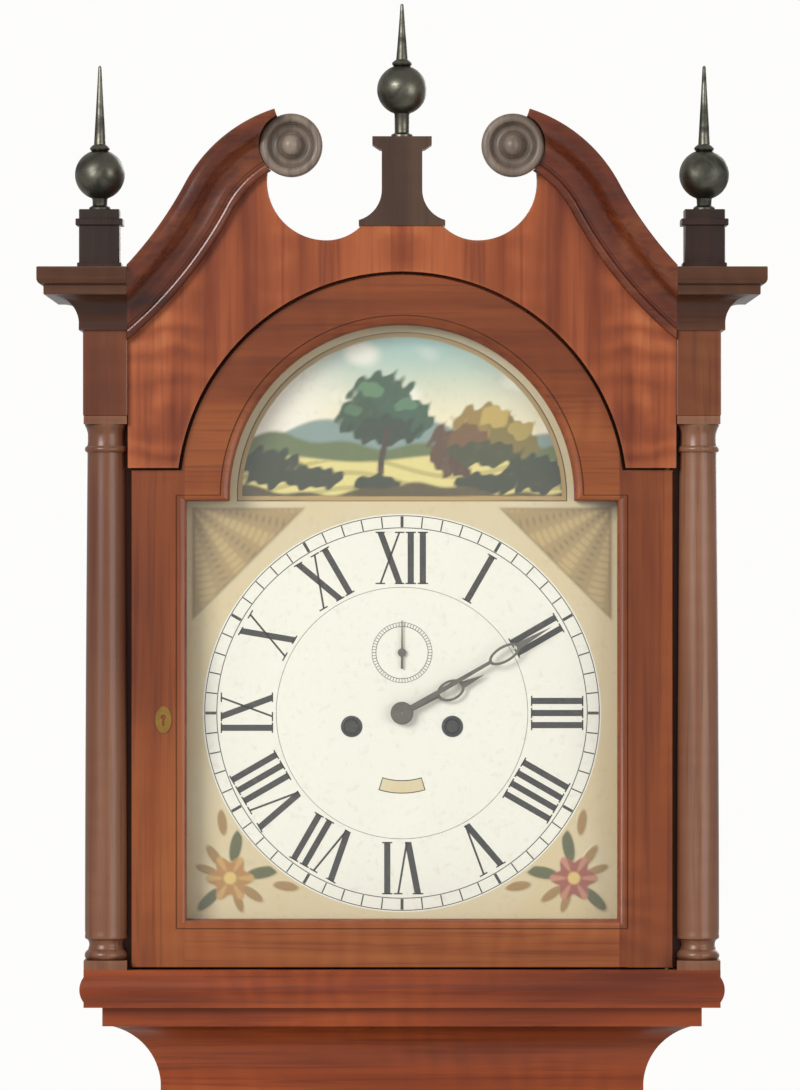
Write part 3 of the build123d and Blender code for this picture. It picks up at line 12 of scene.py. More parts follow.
import bmesh
import bpy
import numpy as np
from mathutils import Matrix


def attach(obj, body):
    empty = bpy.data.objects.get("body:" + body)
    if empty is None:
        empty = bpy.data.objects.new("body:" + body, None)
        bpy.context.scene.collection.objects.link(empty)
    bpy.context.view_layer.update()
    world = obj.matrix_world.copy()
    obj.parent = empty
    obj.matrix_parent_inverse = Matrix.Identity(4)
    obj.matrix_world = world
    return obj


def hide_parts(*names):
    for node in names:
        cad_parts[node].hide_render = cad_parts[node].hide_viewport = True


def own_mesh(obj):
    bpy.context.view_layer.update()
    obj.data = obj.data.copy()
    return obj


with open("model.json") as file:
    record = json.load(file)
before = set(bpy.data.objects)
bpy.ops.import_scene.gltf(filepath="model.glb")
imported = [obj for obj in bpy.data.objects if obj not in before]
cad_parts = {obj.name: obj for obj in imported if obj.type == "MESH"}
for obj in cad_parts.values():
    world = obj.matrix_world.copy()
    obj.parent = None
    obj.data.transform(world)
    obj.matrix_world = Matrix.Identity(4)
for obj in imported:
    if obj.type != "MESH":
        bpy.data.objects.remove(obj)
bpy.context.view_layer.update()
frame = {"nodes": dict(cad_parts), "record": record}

LOG = logging.getLogger("clock")
MM = 0.001
WELD_STEPS = 200            # corners are welded on a grid of this many steps per millimetre
TRACE = 0.04                # ornament with less cover than this isn't made
ARCH_Z = 1994.0             # height of the centre of the dial's arch
DIAL_Z = 1833.4             # height of the centre of the hands
BODY_OF = {n: b for b, names in frame["record"]["behaviour"]["bodies"].items() for n in names}


def linear(red: float, green: float, blue: float) -> tuple[float, float, float, float]:
    """Screen colour of 0 to 255 made linear by the sRGB curve."""
    part = np.array([red, green, blue]) / 255
    out = np.where(part <= 0.04045, part / 12.92, ((part + 0.055) / 1.055) ** 2.4)
    return (*out.tolist(), 1.0)


# Surfaces


@dataclass
class Surface:
    """Points of a mesh and its faces, in blocks of equal corner count."""

    verts: np.ndarray
    faces: list[np.ndarray]

    def __add__(self, other: "Surface") -> "Surface":
        """Both surfaces as one, the second's corner numbers moved on by the first's count."""
        start = len(self.verts)
        return Surface(np.vstack((self.verts, other.verts)), self.faces + [f + start for f in other.faces])

    def mirrored(self) -> "Surface":
        """The surface with X turned to minus X."""
        return Surface(self.verts * (-1, 1, 1), [f[:, ::-1] for f in self.faces])

    def both(self) -> "Surface":
        """The surface and its mirror image across the middle of the clock."""
        return self + self.mirrored()


def grid(points: np.ndarray, close_rows: bool = False, close_cols: bool = False,
         caps: bool = False) -> Surface:
    """Quads between neighbouring points of a grid.

    Args:
        points: rows by columns by 3.
        close_rows: joins the last row to the first.
        close_cols: joins the last column to the first.
        caps: closes the first and the last row with one face each.

    Returns:
        The surface; corner (r, c) has number r times columns plus c.
    """
    rows, cols = points.shape[:2]
    r, c = np.meshgrid(np.arange(rows - (not close_rows)), np.arange(cols - (not close_cols)), indexing="ij")
    r2, c2 = (r + 1) % rows, (c + 1) % cols
    quads = np.stack((r * cols + c, r2 * cols + c, r2 * cols + c2, r * cols + c2), -1).reshape(-1, 4)
    faces = [quads]
    if caps:
        ring = np.arange(cols)[None, :]
        faces += [ring, (ring + (rows - 1) * cols)[:, ::-1]]
    return Surface(points.reshape(-1, 3), faces)


def box(x: tuple[float, float], y: tuple[float, float], z: tuple[float, float]) -> Surface:
    """Box between the given spans: a square of four corners at each of two heights."""
    square = np.array([(x[0], y[0]), (x[1], y[0]), (x[1], y[1]), (x[0], y[1])])
    rows = [np.column_stack((square, np.full(4, height))) for height in z]
    return grid(np.array(rows), close_cols=True, caps=True)


def through(a: tuple[float, float], b: tuple[float, float], c: tuple[float, float],
            steps: int = 10) -> np.ndarray:
    """Arc from a through b to c.

    Args:
        a: first end.
        b: a point on the way.
        c: last end.
        steps: number of straight parts.

    Returns:
        Centre plus radius times (cosine, sine) of evenly spaced angles; the centre is where the
        bisectors of a to b and a to c cross.
    """
    a, b, c = (np.array(p, float) for p in (a, b, c))
    rows = 2 * np.array([b - a, c - a])
    centre = np.linalg.solve(rows, np.array([b @ b - a @ a, c @ c - a @ a]))
    angle = [atan2(*(p - centre)[::-1]) for p in (a, b, c)]
    sweep_c = (angle[2] - angle[0]) % (2 * pi)
    sweep_b = (angle[1] - angle[0]) % (2 * pi)
    turn = sweep_c if sweep_b <= sweep_c else sweep_c - 2 * pi
    way = angle[0] + turn * np.linspace(0, 1, steps + 1)
    radius = np.hypot(*(a - centre))
    return centre + radius * np.column_stack((np.cos(way), np.sin(way)))


def line(*parts: object) -> np.ndarray:
    """One outline from single points and runs of points, in order."""
    return np.vstack([np.atleast_2d(np.array(part, float)) for part in parts])


def turned(profile: np.ndarray, at: tuple[float, float], upright: bool = True, sides: int = 96) -> Surface:
    """Turning: each (radius, distance) of the profile goes round the axis.

    Args:
        profile: radius and place along the axis, from pole to pole or as a closed loop.
        at: X and Y of an upright axis, or X and Z of one that lies along Y.
        upright: whether the axis stands along Z.
        sides: number of facets round.

    Returns:
        Point (r cos a, r sin a) about the axis, at the profile's distance along it.
    """
    angle = np.linspace(0, 2 * pi, sides, endpoint=False)
    across = at[0] + profile[:, :1] * np.cos(angle)
    other = at[1] + profile[:, :1] * np.sin(angle)
    along = np.repeat(profile[:, 1:], sides, axis=1)
    points = np.stack((across, other, along) if upright else (across, along, other), -1)
    return grid(points, close_rows=bool(profile[0, 0] > 0), close_cols=True)


def wrapped(half: float, front: float, back: float, profile: np.ndarray) -> Surface:
    """Moulding round the front and both sides: corner plus out times the mitre's direction.

    Args:
        half: half the width of what it goes round.
        front: depth of its face.
        back: depth of the moulding's two ends.
        profile: closed outline of (out, height).

    Returns:
        The moulding with closed ends.
    """
    corners = np.array([(-half, back), (-half, front), (half, front), (half, back)])
    ways = np.array([(-1, 0), (-1, -1), (1, -1), (1, 0)])
    flat = corners[:, None, :] + profile[None, :, :1] * ways[:, None, :]
    high = np.broadcast_to(profile[None, :, 1:], (4, len(profile), 1))
    return grid(np.concatenate((flat, high), -1), close_cols=True, caps=True)


def arch_outline(half: float, low: float, shoulder: float, radius: float) -> np.ndarray:
    """Break-arch outline: straight sides and shoulders, and an arc about the arch centre.

    Args:
        half: half the width.
        low: foot, from the arch centre.
        shoulder: height of the shoulders, from the arch centre.
        radius: radius of the arc.

    Returns:
        Points of (X, Z), anticlockwise from the lower left corner.
    """
    spring = sqrt(radius ** 2 - shoulder ** 2)
    first = atan2(shoulder, spring)
    way = np.linspace(first, pi - first, 65)
    arc = radius * np.column_stack((np.cos(way), np.sin(way)))
    flat = line((-half, low), (half, low), (half, shoulder), arc, (-half, shoulder))
    return flat + (0, ARCH_Z)


def plates(quads: np.ndarray, front: float, back: float) -> Surface:
    """Thin plates, one for every four corners.

    Args:
        quads: count by 4 by 2 corners of (X, Z).
        front: depth of the front faces.
        back: depth of the back faces.

    Returns:
        Each plate with its front, its back and four edges.
    """
    count = len(quads)
    verts = np.empty((count, 2, 4, 3))
    verts[..., 0] = quads[:, None, :, 0]
    verts[..., 2] = quads[:, None, :, 1]
    verts[:, 0, :, 1] = front
    verts[:, 1, :, 1] = back
    sides = [(0, 1, 2, 3), (7, 6, 5, 4), (0, 4, 5, 1), (1, 5, 6, 2), (2, 6, 7, 3), (3, 7, 4, 0)]
    faces = (np.arange(count)[:, None, None] * 8 + np.array(sides)[None]).reshape(-1, 4)
    return Surface(verts.reshape(-1, 3), [faces])


def ring(centre: tuple[float, float], inner: float, outer: float, front: float, back: float) -> Surface:
    """Flat ring: a small rectangle of radius and depth turned about an axis along Y."""
    profile = line((inner, back), (inner, front), (outer, front), (outer, back))
    return turned(profile, centre, upright=False, sides=180)


def tube(x: float, y: float, radius: float, low: float, high: float) -> Surface:
    """Upright round bar with closed ends."""
    return turned(line((0, low), (radius, low), (radius, high), (0, high)), (x, y), sides=20)


def cad_surface(node: str) -> Surface:
    """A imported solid's triangles, welded.

    Args:
        node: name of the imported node.

    Returns:
        Its surface, with corners made one that round to the same 200th of a millimetre.
    """
    mesh = frame["nodes"][node].data
    places = np.empty(len(mesh.vertices) * 3, np.float32)
    mesh.vertices.foreach_get("co", places)
    mesh.calc_loop_triangles()
    corners = np.empty(len(mesh.loop_triangles) * 3, np.int32)
    mesh.loop_triangles.foreach_get("vertices", corners)
    steps = np.round(places.reshape(-1, 3).astype(float) / MM * WELD_STEPS)
    unique, number = np.unique(steps, axis=0, return_inverse=True)
    faces = number.reshape(-1)[corners.reshape(-1, 3)]
    whole = (faces != np.roll(faces, 1, axis=1)).all(axis=1)
    return Surface(unique / WELD_STEPS, [faces[whole]])


# Finishes


class Nodes:
    """Places the nodes of one tree and joins them."""

    def __init__(self, tree: bpy.types.NodeTree) -> None:
        """Keeps the tree that the nodes go into."""
        self.tree = tree

    def feed(self, socket: bpy.types.NodeSocket, value: object) -> None:
        """Links a socket to another one, or sets its own value."""
        if isinstance(value, bpy.types.NodeSocket):
            self.tree.links.new(value, socket)
        else:
            socket.default_value = value

    def add(self, kind: str, inputs: dict | None = None, **settings: object) -> bpy.types.Node:
        """Adds a shader node, with its settings and then its inputs."""
        node = self.tree.nodes.new("ShaderNode" + kind)
        for key, value in settings.items():
            setattr(node, key, value)
        for key, value in (inputs or {}).items():
            self.feed(node.inputs[key], value)
        return node

    def mix(self, factor: object, first: object, second: object) -> bpy.types.NodeSocket:
        """Colour that goes from the first to the second with the factor."""
        return self.add("Mix", {0: factor, 6: first, 7: second}, data_type="RGBA").outputs[2]

    def math(self, operation: str, first: object, second: object = 0.0) -> bpy.types.NodeSocket:
        """Result of one sum on two numbers."""
        return self.add("Math", {0: first, 1: second}, operation=operation).outputs[0]

    def span(self, value: object, low: float, high: float) -> bpy.types.NodeSocket:
        """Smooth step from 0 at low to 1 at high."""
        inputs = {"Value": value, "From Min": low, "From Max": high}
        return self.add("MapRange", inputs, interpolation_type="SMOOTHSTEP").outputs[0]

    def times(self, vector: object, factors: tuple[float, float, float]) -> bpy.types.NodeSocket:
        """Vector with each part multiplied."""
        return self.add("VectorMath", {0: vector, 1: factors}, operation="MULTIPLY").outputs[0]

    def noise(self, vector: object, scale: object, detail: float = 2.0,
              distortion: float = 0.0) -> bpy.types.NodeSocket:
        """Value of a noise texture."""
        inputs = {"Vector": vector, "Scale": scale, "Detail": detail, "Distortion": distortion}
        return self.add("TexNoise", inputs).outputs[0]

    def bump(self, height: object, strength: float, distance: float) -> bpy.types.NodeSocket:
        """Normal bent by a height."""
        return self.add("Bump", {"Strength": strength, "Distance": distance, "Height": height}).outputs[0]


def shared_group(name: str, inputs: dict[str, float | None], outputs: tuple[str, ...]) -> tuple:
    """An empty node group with its sockets.

    Args:
        name: name of the group.
        inputs: socket names; one with a number is a float, the others are vectors.
        outputs: names of its float outputs.

    Returns:
        The tree, its input node and its output node.
    """
    tree = bpy.data.node_groups.new(name, "ShaderNodeTree")
    for label, value in inputs.items():
        kind = "NodeSocketVector" if value is None else "NodeSocketFloat"
        socket = tree.interface.new_socket(name=label, in_out="INPUT", socket_type=kind)
        if value is not None:
            socket.default_value = value
    for label in outputs:
        tree.interface.new_socket(name=label, in_out="OUTPUT", socket_type="NodeSocketFloat")
    return tree, tree.nodes.new("NodeGroupInput"), tree.nodes.new("NodeGroupOutput")


class Effects:
    """The effects that several finishes share, each built once."""

    def __init__(self) -> None:
        """Builds the groups for wood figure, patina, dust, hollows for painted shade and tarnish, and worn
        edges.
        """
        self.figure = self.build_figure()
        self.patina = self.build_patina()
        self.dust = self.build_dust()
        self.hollow = self.build_hollow()
        self.wear = self.build_wear()

    def build_figure(self) -> bpy.types.NodeTree:
        """Wood: slow clouds, long streaks, pores and curling bands, with the grain along Z."""
        outputs = ("Figure", "Streak", "Flame", "Height")
        tree, source, result = shared_group("wood_figure", {"Vector": None}, outputs)
        nodes, place = Nodes(tree), source.outputs["Vector"]
        clouds = nodes.noise(nodes.times(place, (9, 9, 2.2)), 1.0, 4.0, 0.8)
        bands = nodes.noise(nodes.times(place, (48, 48, 1.8)), 1.0, 3.0, 0.5)
        figure = nodes.math("ADD", nodes.math("MULTIPLY", clouds, 0.6), nodes.math("MULTIPLY", bands, 0.4))
        streak = nodes.noise(nodes.times(place, (260, 260, 7)), 1.0, 3.0, 0.3)
        pores = nodes.noise(nodes.times(place, (1500, 1500, 60)), 1.0, 1.0)
        bent = nodes.times(place, (5.5, 5.5, 9.0))
        wave = nodes.add("TexWave", {"Vector": bent, "Scale": 1.6, "Distortion": 9.0, "Detail": 3.0,
                                     "Detail Scale": 1.4}, bands_direction="Z").outputs[1]
        broken = nodes.noise(nodes.times(place, (16, 16, 5)), 1.0, 2.0)
        flame = nodes.math("MULTIPLY", wave, nodes.span(broken, 0.38, 0.74))
        height = nodes.math("ADD", streak, nodes.math("MULTIPLY", pores, 0.7))
        for label, value in (("Figure", figure), ("Streak", streak), ("Flame", flame), ("Height", height)):
            tree.links.new(value, result.inputs[label])
        return tree

    def build_patina(self) -> bpy.types.NodeTree:
        """Old surfaces: soft blotches, small specks and fine scratches at a given scale."""
        inputs = {"Vector": None, "Scale": 30.0}
        tree, source, result = shared_group("patina", inputs, ("Blotch", "Speck", "Height"))
        nodes, place, scale = Nodes(tree), source.outputs["Vector"], source.outputs["Scale"]
        blotch = nodes.noise(place, scale, 4.0, 0.6)
        speck = nodes.noise(place, nodes.math("MULTIPLY", scale, 14.0), 3.0)
        scratch = nodes.noise(nodes.times(place, (40, 900, 900)), 1.0, 2.0, 0.4)
        tree.links.new(nodes.span(blotch, 0.35, 0.68), result.inputs["Blotch"])
        tree.links.new(nodes.span(speck, 0.55, 0.75), result.inputs["Speck"])
        tree.links.new(nodes.math("ADD", scratch, speck), result.inputs["Height"])
        return tree

    def build_dust(self) -> bpy.types.NodeTree:
        """Dust: the part of the surface that faces up, broken by noise."""
        tree, source, result = shared_group("dust", {"Vector": None, "Amount": 0.5}, ("Mask",))
        nodes = Nodes(tree)
        facing = nodes.add("SeparateXYZ", {0: nodes.add("NewGeometry").outputs["Normal"]}).outputs[2]
        cloud = nodes.noise(source.outputs["Vector"], 35.0, 5.0)
        mask = nodes.math("MULTIPLY", nodes.span(facing, 0.35, 1.0), nodes.span(cloud, 0.3, 0.7))
        tree.links.new(nodes.math("MULTIPLY", mask, source.outputs["Amount"]), result.inputs["Mask"])
        return tree

    def build_hollow(self) -> bpy.types.NodeTree:
        """How closed in the surface is within a short distance; painted shade on wood, darker tarnish on
        metal.
        """
        tree, source, result = shared_group("hollow", {"Distance": 0.01}, ("Mask",))
        nodes = Nodes(tree)
        open_sky = nodes.add("AmbientOcclusion", {"Distance": source.outputs["Distance"]}, samples=2,
                             only_local=True).outputs[1]
        tree.links.new(nodes.math("SUBTRACT", 1.0, nodes.span(open_sky, 0.25, 0.95)), result.inputs["Mask"])
        return tree

    def build_wear(self) -> bpy.types.NodeTree:
        """Worn edges: where the solid is thin under the surface, broken by noise."""
        tree, source, result = shared_group("edge_wear", {"Vector": None, "Distance": 0.003}, ("Mask",))
        nodes = Nodes(tree)
        deep = nodes.add("AmbientOcclusion", {"Distance": source.outputs["Distance"]}, samples=2, inside=True,
                         only_local=True).outputs[1]
        edge = nodes.math("SUBTRACT", 1.0, nodes.span(deep, 0.15, 0.75))
        rub = nodes.span(nodes.noise(source.outputs["Vector"], 55.0, 3.0), 0.38, 0.62)
        tree.links.new(nodes.math("MULTIPLY", edge, rub), result.inputs["Mask"])
        return tree


EFFECTS = Effects()


def start_material(name: str) -> tuple[bpy.types.Material, Nodes, bpy.types.Node, bpy.types.NodeSocket]:
    """A new material with its node helper, its shader and the object coordinates."""
    material = bpy.data.materials.new(name)
    material.use_nodes = True
    nodes = Nodes(material.node_tree)
    shader = material.node_tree.nodes["Principled BSDF"]
    return material, nodes, shader, nodes.add("TexCoord").outputs["Object"]


@dataclass(frozen=True)
class Finish:
    """What a piece is made of; each kind says how its shader is fed."""

    name: str

    def material(self) -> bpy.types.Material:
        """Builds the finish at its first use.

        Returns:
            The material, one for all pieces of this finish.
        """
        if self.name in bpy.data.materials:
            return bpy.data.materials[self.name]
        material, nodes, shader, place = start_material(self.name)
        self.shade(nodes, shader, place)
        return material

    def shade(self, nodes: Nodes, shader: bpy.types.Node, place: bpy.types.NodeSocket) -> None:
        """Feeds the shader from the nodes, by the object coordinates."""
        raise NotImplementedError


class Grain(Enum):
    """Which way the grain of a board runs."""

    UP = (0, 1, 2)
    ACROSS = (2, 1, 0)


@dataclass(frozen=True)
class Wood(Finish):
    """Polished or plain wood with figure, streaks, painted shade in hollows and dust on top."""

    dark: tuple
    mid: tuple
    light: tuple
    slot: str = "mahogany"
    flame: float = 0.08
    streaks: float = 0.45
    grain: Grain = Grain.UP
    stile_from: float = 0.0
    matched: bool = False
    roughness: float = 0.3
    coat: float = 0.12

    def vector(self, nodes: Nodes, place: bpy.types.NodeSocket) -> bpy.types.NodeSocket:
        """Object coordinates turned so that Z follows the grain.

        Args:
            nodes: node helper of the material.
            place: object coordinates.

        Returns:
            The vector; past stile_from the grain runs up again, as on stiles beside rails.
        """
        parts = nodes.add("SeparateXYZ", {0: place}).outputs
        side = nodes.math("ABSOLUTE", parts[0])
        axes = (side if self.matched else parts[0], parts[1], parts[2])
        turned_way = [axes[i] for i in self.grain.value]
        vector = nodes.add("CombineXYZ", dict(enumerate(turned_way))).outputs[0]
        if self.stile_from:
            stile = nodes.math("GREATER_THAN", side, self.stile_from * MM)
            vector = nodes.add("Mix", {0: stile, 4: vector, 5: place}, data_type="VECTOR").outputs[1]
        return vector

    def shade(self, nodes: Nodes, shader: bpy.types.Node, place: bpy.types.NodeSocket) -> None:
        """Figure and streaks of the wood, with painted shade in hollows, wear and dust over them and a thin
        polish.
        """
        figure = nodes.add("Group", node_tree=EFFECTS.figure)
        nodes.feed(figure.inputs["Vector"], self.vector(nodes, place))
        tone = nodes.math("ADD", nodes.math("MULTIPLY", figure.outputs["Figure"], 1.15),
                          nodes.math("MULTIPLY", figure.outputs["Flame"], self.flame))
        ramp = nodes.add("ValToRGB", {0: nodes.math("SUBTRACT", tone, 0.1 + self.flame * 0.3)})
        ramp.color_ramp.elements[0].position, ramp.color_ramp.elements[0].color = 0.22, linear(*self.dark)
        ramp.color_ramp.elements[1].position, ramp.color_ramp.elements[1].color = 0.78, linear(*self.light)
        middle = ramp.color_ramp.elements.new(0.47)
        middle.color = linear(*self.mid)
        streak = nodes.math("MULTIPLY", nodes.span(figure.outputs["Streak"], 0.48, 0.72), self.streaks)
        colour = nodes.mix(streak, ramp.outputs[0], linear(*self.dark))
        # Painted shade: the wood darkens towards its dark tone where its own surface closes in round it.
        hollow = nodes.add("Group", {"Distance": 0.012}, node_tree=EFFECTS.hollow).outputs[0]
        deep = linear(*(part * 0.45 for part in self.dark))
        colour = nodes.mix(nodes.math("MULTIPLY", hollow, 0.6), colour, deep)
        wear = nodes.add("Group", {"Vector": place}, node_tree=EFFECTS.wear).outputs[0]
        colour = nodes.mix(nodes.math("MULTIPLY", wear, 0.4), colour, linear(*self.light))
        dust = nodes.add("Group", {"Vector": place, "Amount": 0.3}, node_tree=EFFECTS.dust).outputs[0]
        colour = nodes.mix(dust, colour, linear(158, 140, 122))
        nodes.feed(shader.inputs["Base Color"], colour)
        streaks = nodes.math("MULTIPLY", figure.outputs["Streak"], 0.16)
        rough = nodes.math("ADD", streaks, self.roughness - 0.05)
        nodes.feed(shader.inputs["Roughness"], nodes.math("ADD", rough, nodes.math("MULTIPLY", dust, 0.6)))
        nodes.feed(shader.inputs["Normal"], nodes.bump(figure.outputs["Height"], 0.16, 0.0004))
        shader.inputs["Specular IOR Level"].default_value = 0.36
        shader.inputs["Coat Weight"].default_value = self.coat
        shader.inputs["Coat Roughness"].default_value = 0.16


@dataclass(frozen=True)
class Metal(Finish):
    """Metal with tarnish in blotches, specks and fine scratches."""

    colour: tuple
    tarnish: tuple
    slot: str
    roughness: float = 0.3
    worn: float = 0.5
    scale: float = 30.0
    metallic: float = 1.0
    steel_before: float = 0.0

    def shade(self, nodes: Nodes, shader: bpy.types.Node, place: bpy.types.NodeSocket) -> None:
        """Bare metal under tarnish, with dirt in hollows and rubbed edges."""
        patina = nodes.add("Group", {"Vector": place, "Scale": self.scale}, node_tree=EFFECTS.patina)
        colour = nodes.mix(nodes.math("MULTIPLY", patina.outputs["Blotch"], self.worn), linear(*self.colour),
                           linear(*self.tarnish))
        colour = nodes.mix(nodes.math("MULTIPLY", patina.outputs["Speck"], self.worn * 0.5), colour,
                           linear(*(part * 0.5 for part in self.tarnish)))
        hollow = nodes.add("Group", {"Distance": 0.006}, node_tree=EFFECTS.hollow).outputs[0]
        colour = nodes.mix(nodes.math("MULTIPLY", hollow, 0.5), colour,
                           linear(*(part * 0.4 for part in self.tarnish)))
        wear = nodes.add("Group", {"Vector": place, "Distance": 0.0015}, node_tree=EFFECTS.wear).outputs[0]
        colour = nodes.mix(nodes.math("MULTIPLY", wear, 0.5), colour, linear(*self.colour))
        if self.steel_before:
            depth = nodes.add("SeparateXYZ", {0: place}).outputs[1]
            tip = nodes.math("LESS_THAN", depth, self.steel_before * MM)
            colour = nodes.mix(tip, colour, linear(74, 72, 70))
        nodes.feed(shader.inputs["Base Color"], colour)
        rough = nodes.math("MULTIPLY", patina.outputs["Blotch"], 0.25)
        nodes.feed(shader.inputs["Roughness"], nodes.math("ADD", rough, self.roughness))
        nodes.feed(shader.inputs["Normal"], nodes.bump(patina.outputs["Height"], 0.1, 0.0002))
        shader.inputs["Metallic"].default_value = self.metallic


@dataclass(frozen=True)
class Paint(Finish):
    """Old oil paint; a painted piece carries its own colours in the Paint attribute."""

    ground: tuple
    disc: tuple = ()
    painted: bool = False
    slot: str = "painted_dial"
    roughness: float = 0.36

    def shade(self, nodes: Nodes, shader: bpy.types.Node, place: bpy.types.NodeSocket) -> None:
        """Ground, white disc or picture, with yellowing, specks and fine cracks over them."""
        patina = nodes.add("Group", {"Vector": place, "Scale": 14.0}, node_tree=EFFECTS.patina)
        yellowed = linear(*(part * tint for part, tint in zip(self.ground, (0.97, 0.93, 0.82))))
        aged = nodes.math("MULTIPLY", patina.outputs["Blotch"], 0.5)
        colour = nodes.mix(aged, linear(*self.ground), yellowed)
        if self.disc:
            away = nodes.add("VectorMath", {0: place, 1: (0, 0, -DIAL_Z * MM)}, operation="ADD").outputs[0]
            flat = nodes.times(away, (1, 0, 1))
            reach = nodes.add("VectorMath", {0: flat}, operation="LENGTH").outputs["Value"]
            inside = nodes.math("SUBTRACT", 1.0, nodes.span(reach, 0.1478, 0.1486))
            colour = nodes.mix(inside, colour, linear(*self.disc))
        if self.painted:
            held = nodes.add("Attribute", attribute_name="Paint")
            colour = nodes.mix(held.outputs["Alpha"], colour, held.outputs["Color"])
        cells = nodes.add("TexVoronoi", {"Vector": place, "Scale": 210.0}, feature="DISTANCE_TO_EDGE")
        crack = nodes.math("SUBTRACT", 1.0, nodes.span(cells.outputs[0], 0.0, 0.05))
        speck = nodes.math("MULTIPLY", patina.outputs["Speck"], 0.12)
        colour = nodes.mix(nodes.math("ADD", speck, nodes.math("MULTIPLY", crack, 0.05)), colour,
                           linear(150, 130, 95))
        nodes.feed(shader.inputs["Base Color"], colour)
        rough = nodes.math("MULTIPLY", patina.outputs["Blotch"], 0.15)
        nodes.feed(shader.inputs["Roughness"], nodes.math("ADD", rough, self.roughness))
        height = nodes.math("SUBTRACT", nodes.math("MULTIPLY", patina.outputs["Height"], 0.3), crack)
        nodes.feed(shader.inputs["Normal"], nodes.bump(height, 0.12, 0.0001))


@dataclass(frozen=True)
class Glass(Finish):
    """Thin old window glass: nearly clear, with a faint ripple."""

    name: str = "hood_glass"
    slot: str = "glass"

    def shade(self, nodes: Nodes, shader: bpy.types.Node, place: bpy.types.NodeSocket) -> None:
        """Clear sheet with a slow ripple."""
        ripple = nodes.noise(place, 9.0, 2.0, 0.5)
        nodes.feed(shader.inputs["Normal"], nodes.bump(ripple, 0.05, 0.002))
        shader.inputs["Base Color"].default_value = (0.93, 0.96, 0.94, 1)
        shader.inputs["Roughness"].default_value = 0.03
        shader.inputs["Alpha"].default_value = 0.04


CASE_WOOD = {"dark": (79, 24, 6), "mid": (134, 58, 23), "light": (172, 86, 38)}
UPRIGHT = Wood("mahogany_upright", **CASE_WOOD)
LEVEL = Wood("mahogany_level", **CASE_WOOD, grain=Grain.ACROSS)
FRAMED = Wood("mahogany_framed", **CASE_WOOD, grain=Grain.ACROSS, stile_from=113.0)
BLOCK = Wood("corner_block_wood", (59, 21, 7), (103, 52, 26), (133, 77, 42))
THROAT = Wood("throat_wood", (84, 27, 6), (141, 62, 23), (181, 92, 38), grain=Grain.ACROSS)
TRUNK_DOOR = Wood("trunk_door_wood", (94, 34, 12), (156, 80, 43), (201, 124, 74), flame=0.24, matched=True)
BASE = Wood("base_wood", (79, 24, 6), (134, 58, 23), (172, 86, 38), flame=0.2, matched=True)
HOOD_DOOR = Wood("hood_door_wood", (78, 28, 8), (131, 66, 31), (164, 97, 51), grain=Grain.ACROSS,
                 stile_from=161.0)
FLAME = Wood("flame_veneer", (94, 34, 12), (156, 80, 43), (201, 124, 74), flame=0.26, matched=True)
CORNICE = Wood("cornice_wood", (35, 12, 4), (70, 36, 17), (98, 62, 35), grain=Grain.ACROSS)
DARK_MOULD = Wood("moulding_wood", (48, 15, 6), (96, 40, 18), (150, 84, 48), grain=Grain.ACROSS,
                  roughness=0.22, coat=0.4)
COLUMN = Wood("column_wood", (86, 45, 28), (122, 79, 56), (149, 106, 80), flame=0.04, roughness=0.3)
PLINTH = Wood("side_plinth_wood", (21, 8, 4), (41, 21, 12), (68, 38, 26), flame=0.04)
CENTRE_PLINTH = Wood("centre_plinth_wood", (47, 29, 21), (73, 51, 38), (97, 70, 53), flame=0.04)
ROSETTE = Wood("rosette_wood", (73, 58, 47), (124, 109, 97), (158, 143, 128), flame=0.04,
               roughness=0.42, coat=0.1)
PINE = Wood("pine_board", (116, 76, 42), (172, 128, 80), (206, 170, 122), slot="pine", streaks=0.8,
            roughness=0.62, coat=0.0)
FINIAL_BRASS = Metal("finial_brass", (107, 105, 93), (49, 51, 47), "aged_brass", 0.34, 0.8, 60.0)
FITTING_BRASS = Metal("fitting_brass", (150, 118, 62), (74, 56, 32), "aged_brass", 0.34, 0.7, 60.0)
BRASS = Metal("movement_brass", (206, 166, 88), (140, 100, 52), "brass", 0.26, 0.45, 45.0)
BARREL_BRASS = Metal("barrel_brass", (206, 166, 88), (140, 100, 52), "brass", 0.26, 0.45, 45.0,
                     steel_before=-34.0)
# Blued steel for the winding eyes, kept dark as painted shade for the inside of the winding holes.
BLUED_HOLE_SHADE = Metal("blued_steel_hole_shade", (50, 52, 60), (30, 28, 28), "steel", 0.36, 0.5, 80.0)
BELL = Metal("bell_bronze", (196, 168, 120), (120, 96, 62), "bell_metal", 0.3, 0.5, 30.0)
STEEL = Metal("bright_steel", (150, 150, 148), (88, 84, 78), "steel", 0.3, 0.5, 60.0)
HAND_STEEL = Metal("hand_steel", (112, 108, 98), (54, 50, 44), "steel", 0.34, 0.6, 80.0)
IRON = Metal("weight_iron", (58, 56, 54), (66, 44, 32), "cast_iron", 0.5, 0.6, 35.0, 0.7)
GUT = Metal("gut_line", (186, 150, 96), (138, 104, 60), "gut", 0.45, 0.5, 200.0, 0.0)
DIAL_GROUND = (212, 197, 158)
DIAL_PAINT = Paint("dial_paint", DIAL_GROUND, disc=(235, 233, 218))
PICTURE = Paint("dial_picture", DIAL_GROUND, painted=True)
DATE_PAINT = Paint("date_paint", (214, 200, 160))
BLACK_PAINT = Paint("black_paint", (26, 24, 24), roughness=0.3)


# Pieces


def finish_mesh(mesh: bpy.types.Mesh, smooth: float) -> None:
    """Shades a mesh smooth up to an angle, and sharp past it."""
    if smooth:
        mesh.polygons.foreach_set("use_smooth", np.ones(len(mesh.polygons), bool))
        mesh.set_sharp_from_angle(angle=radians(smooth))


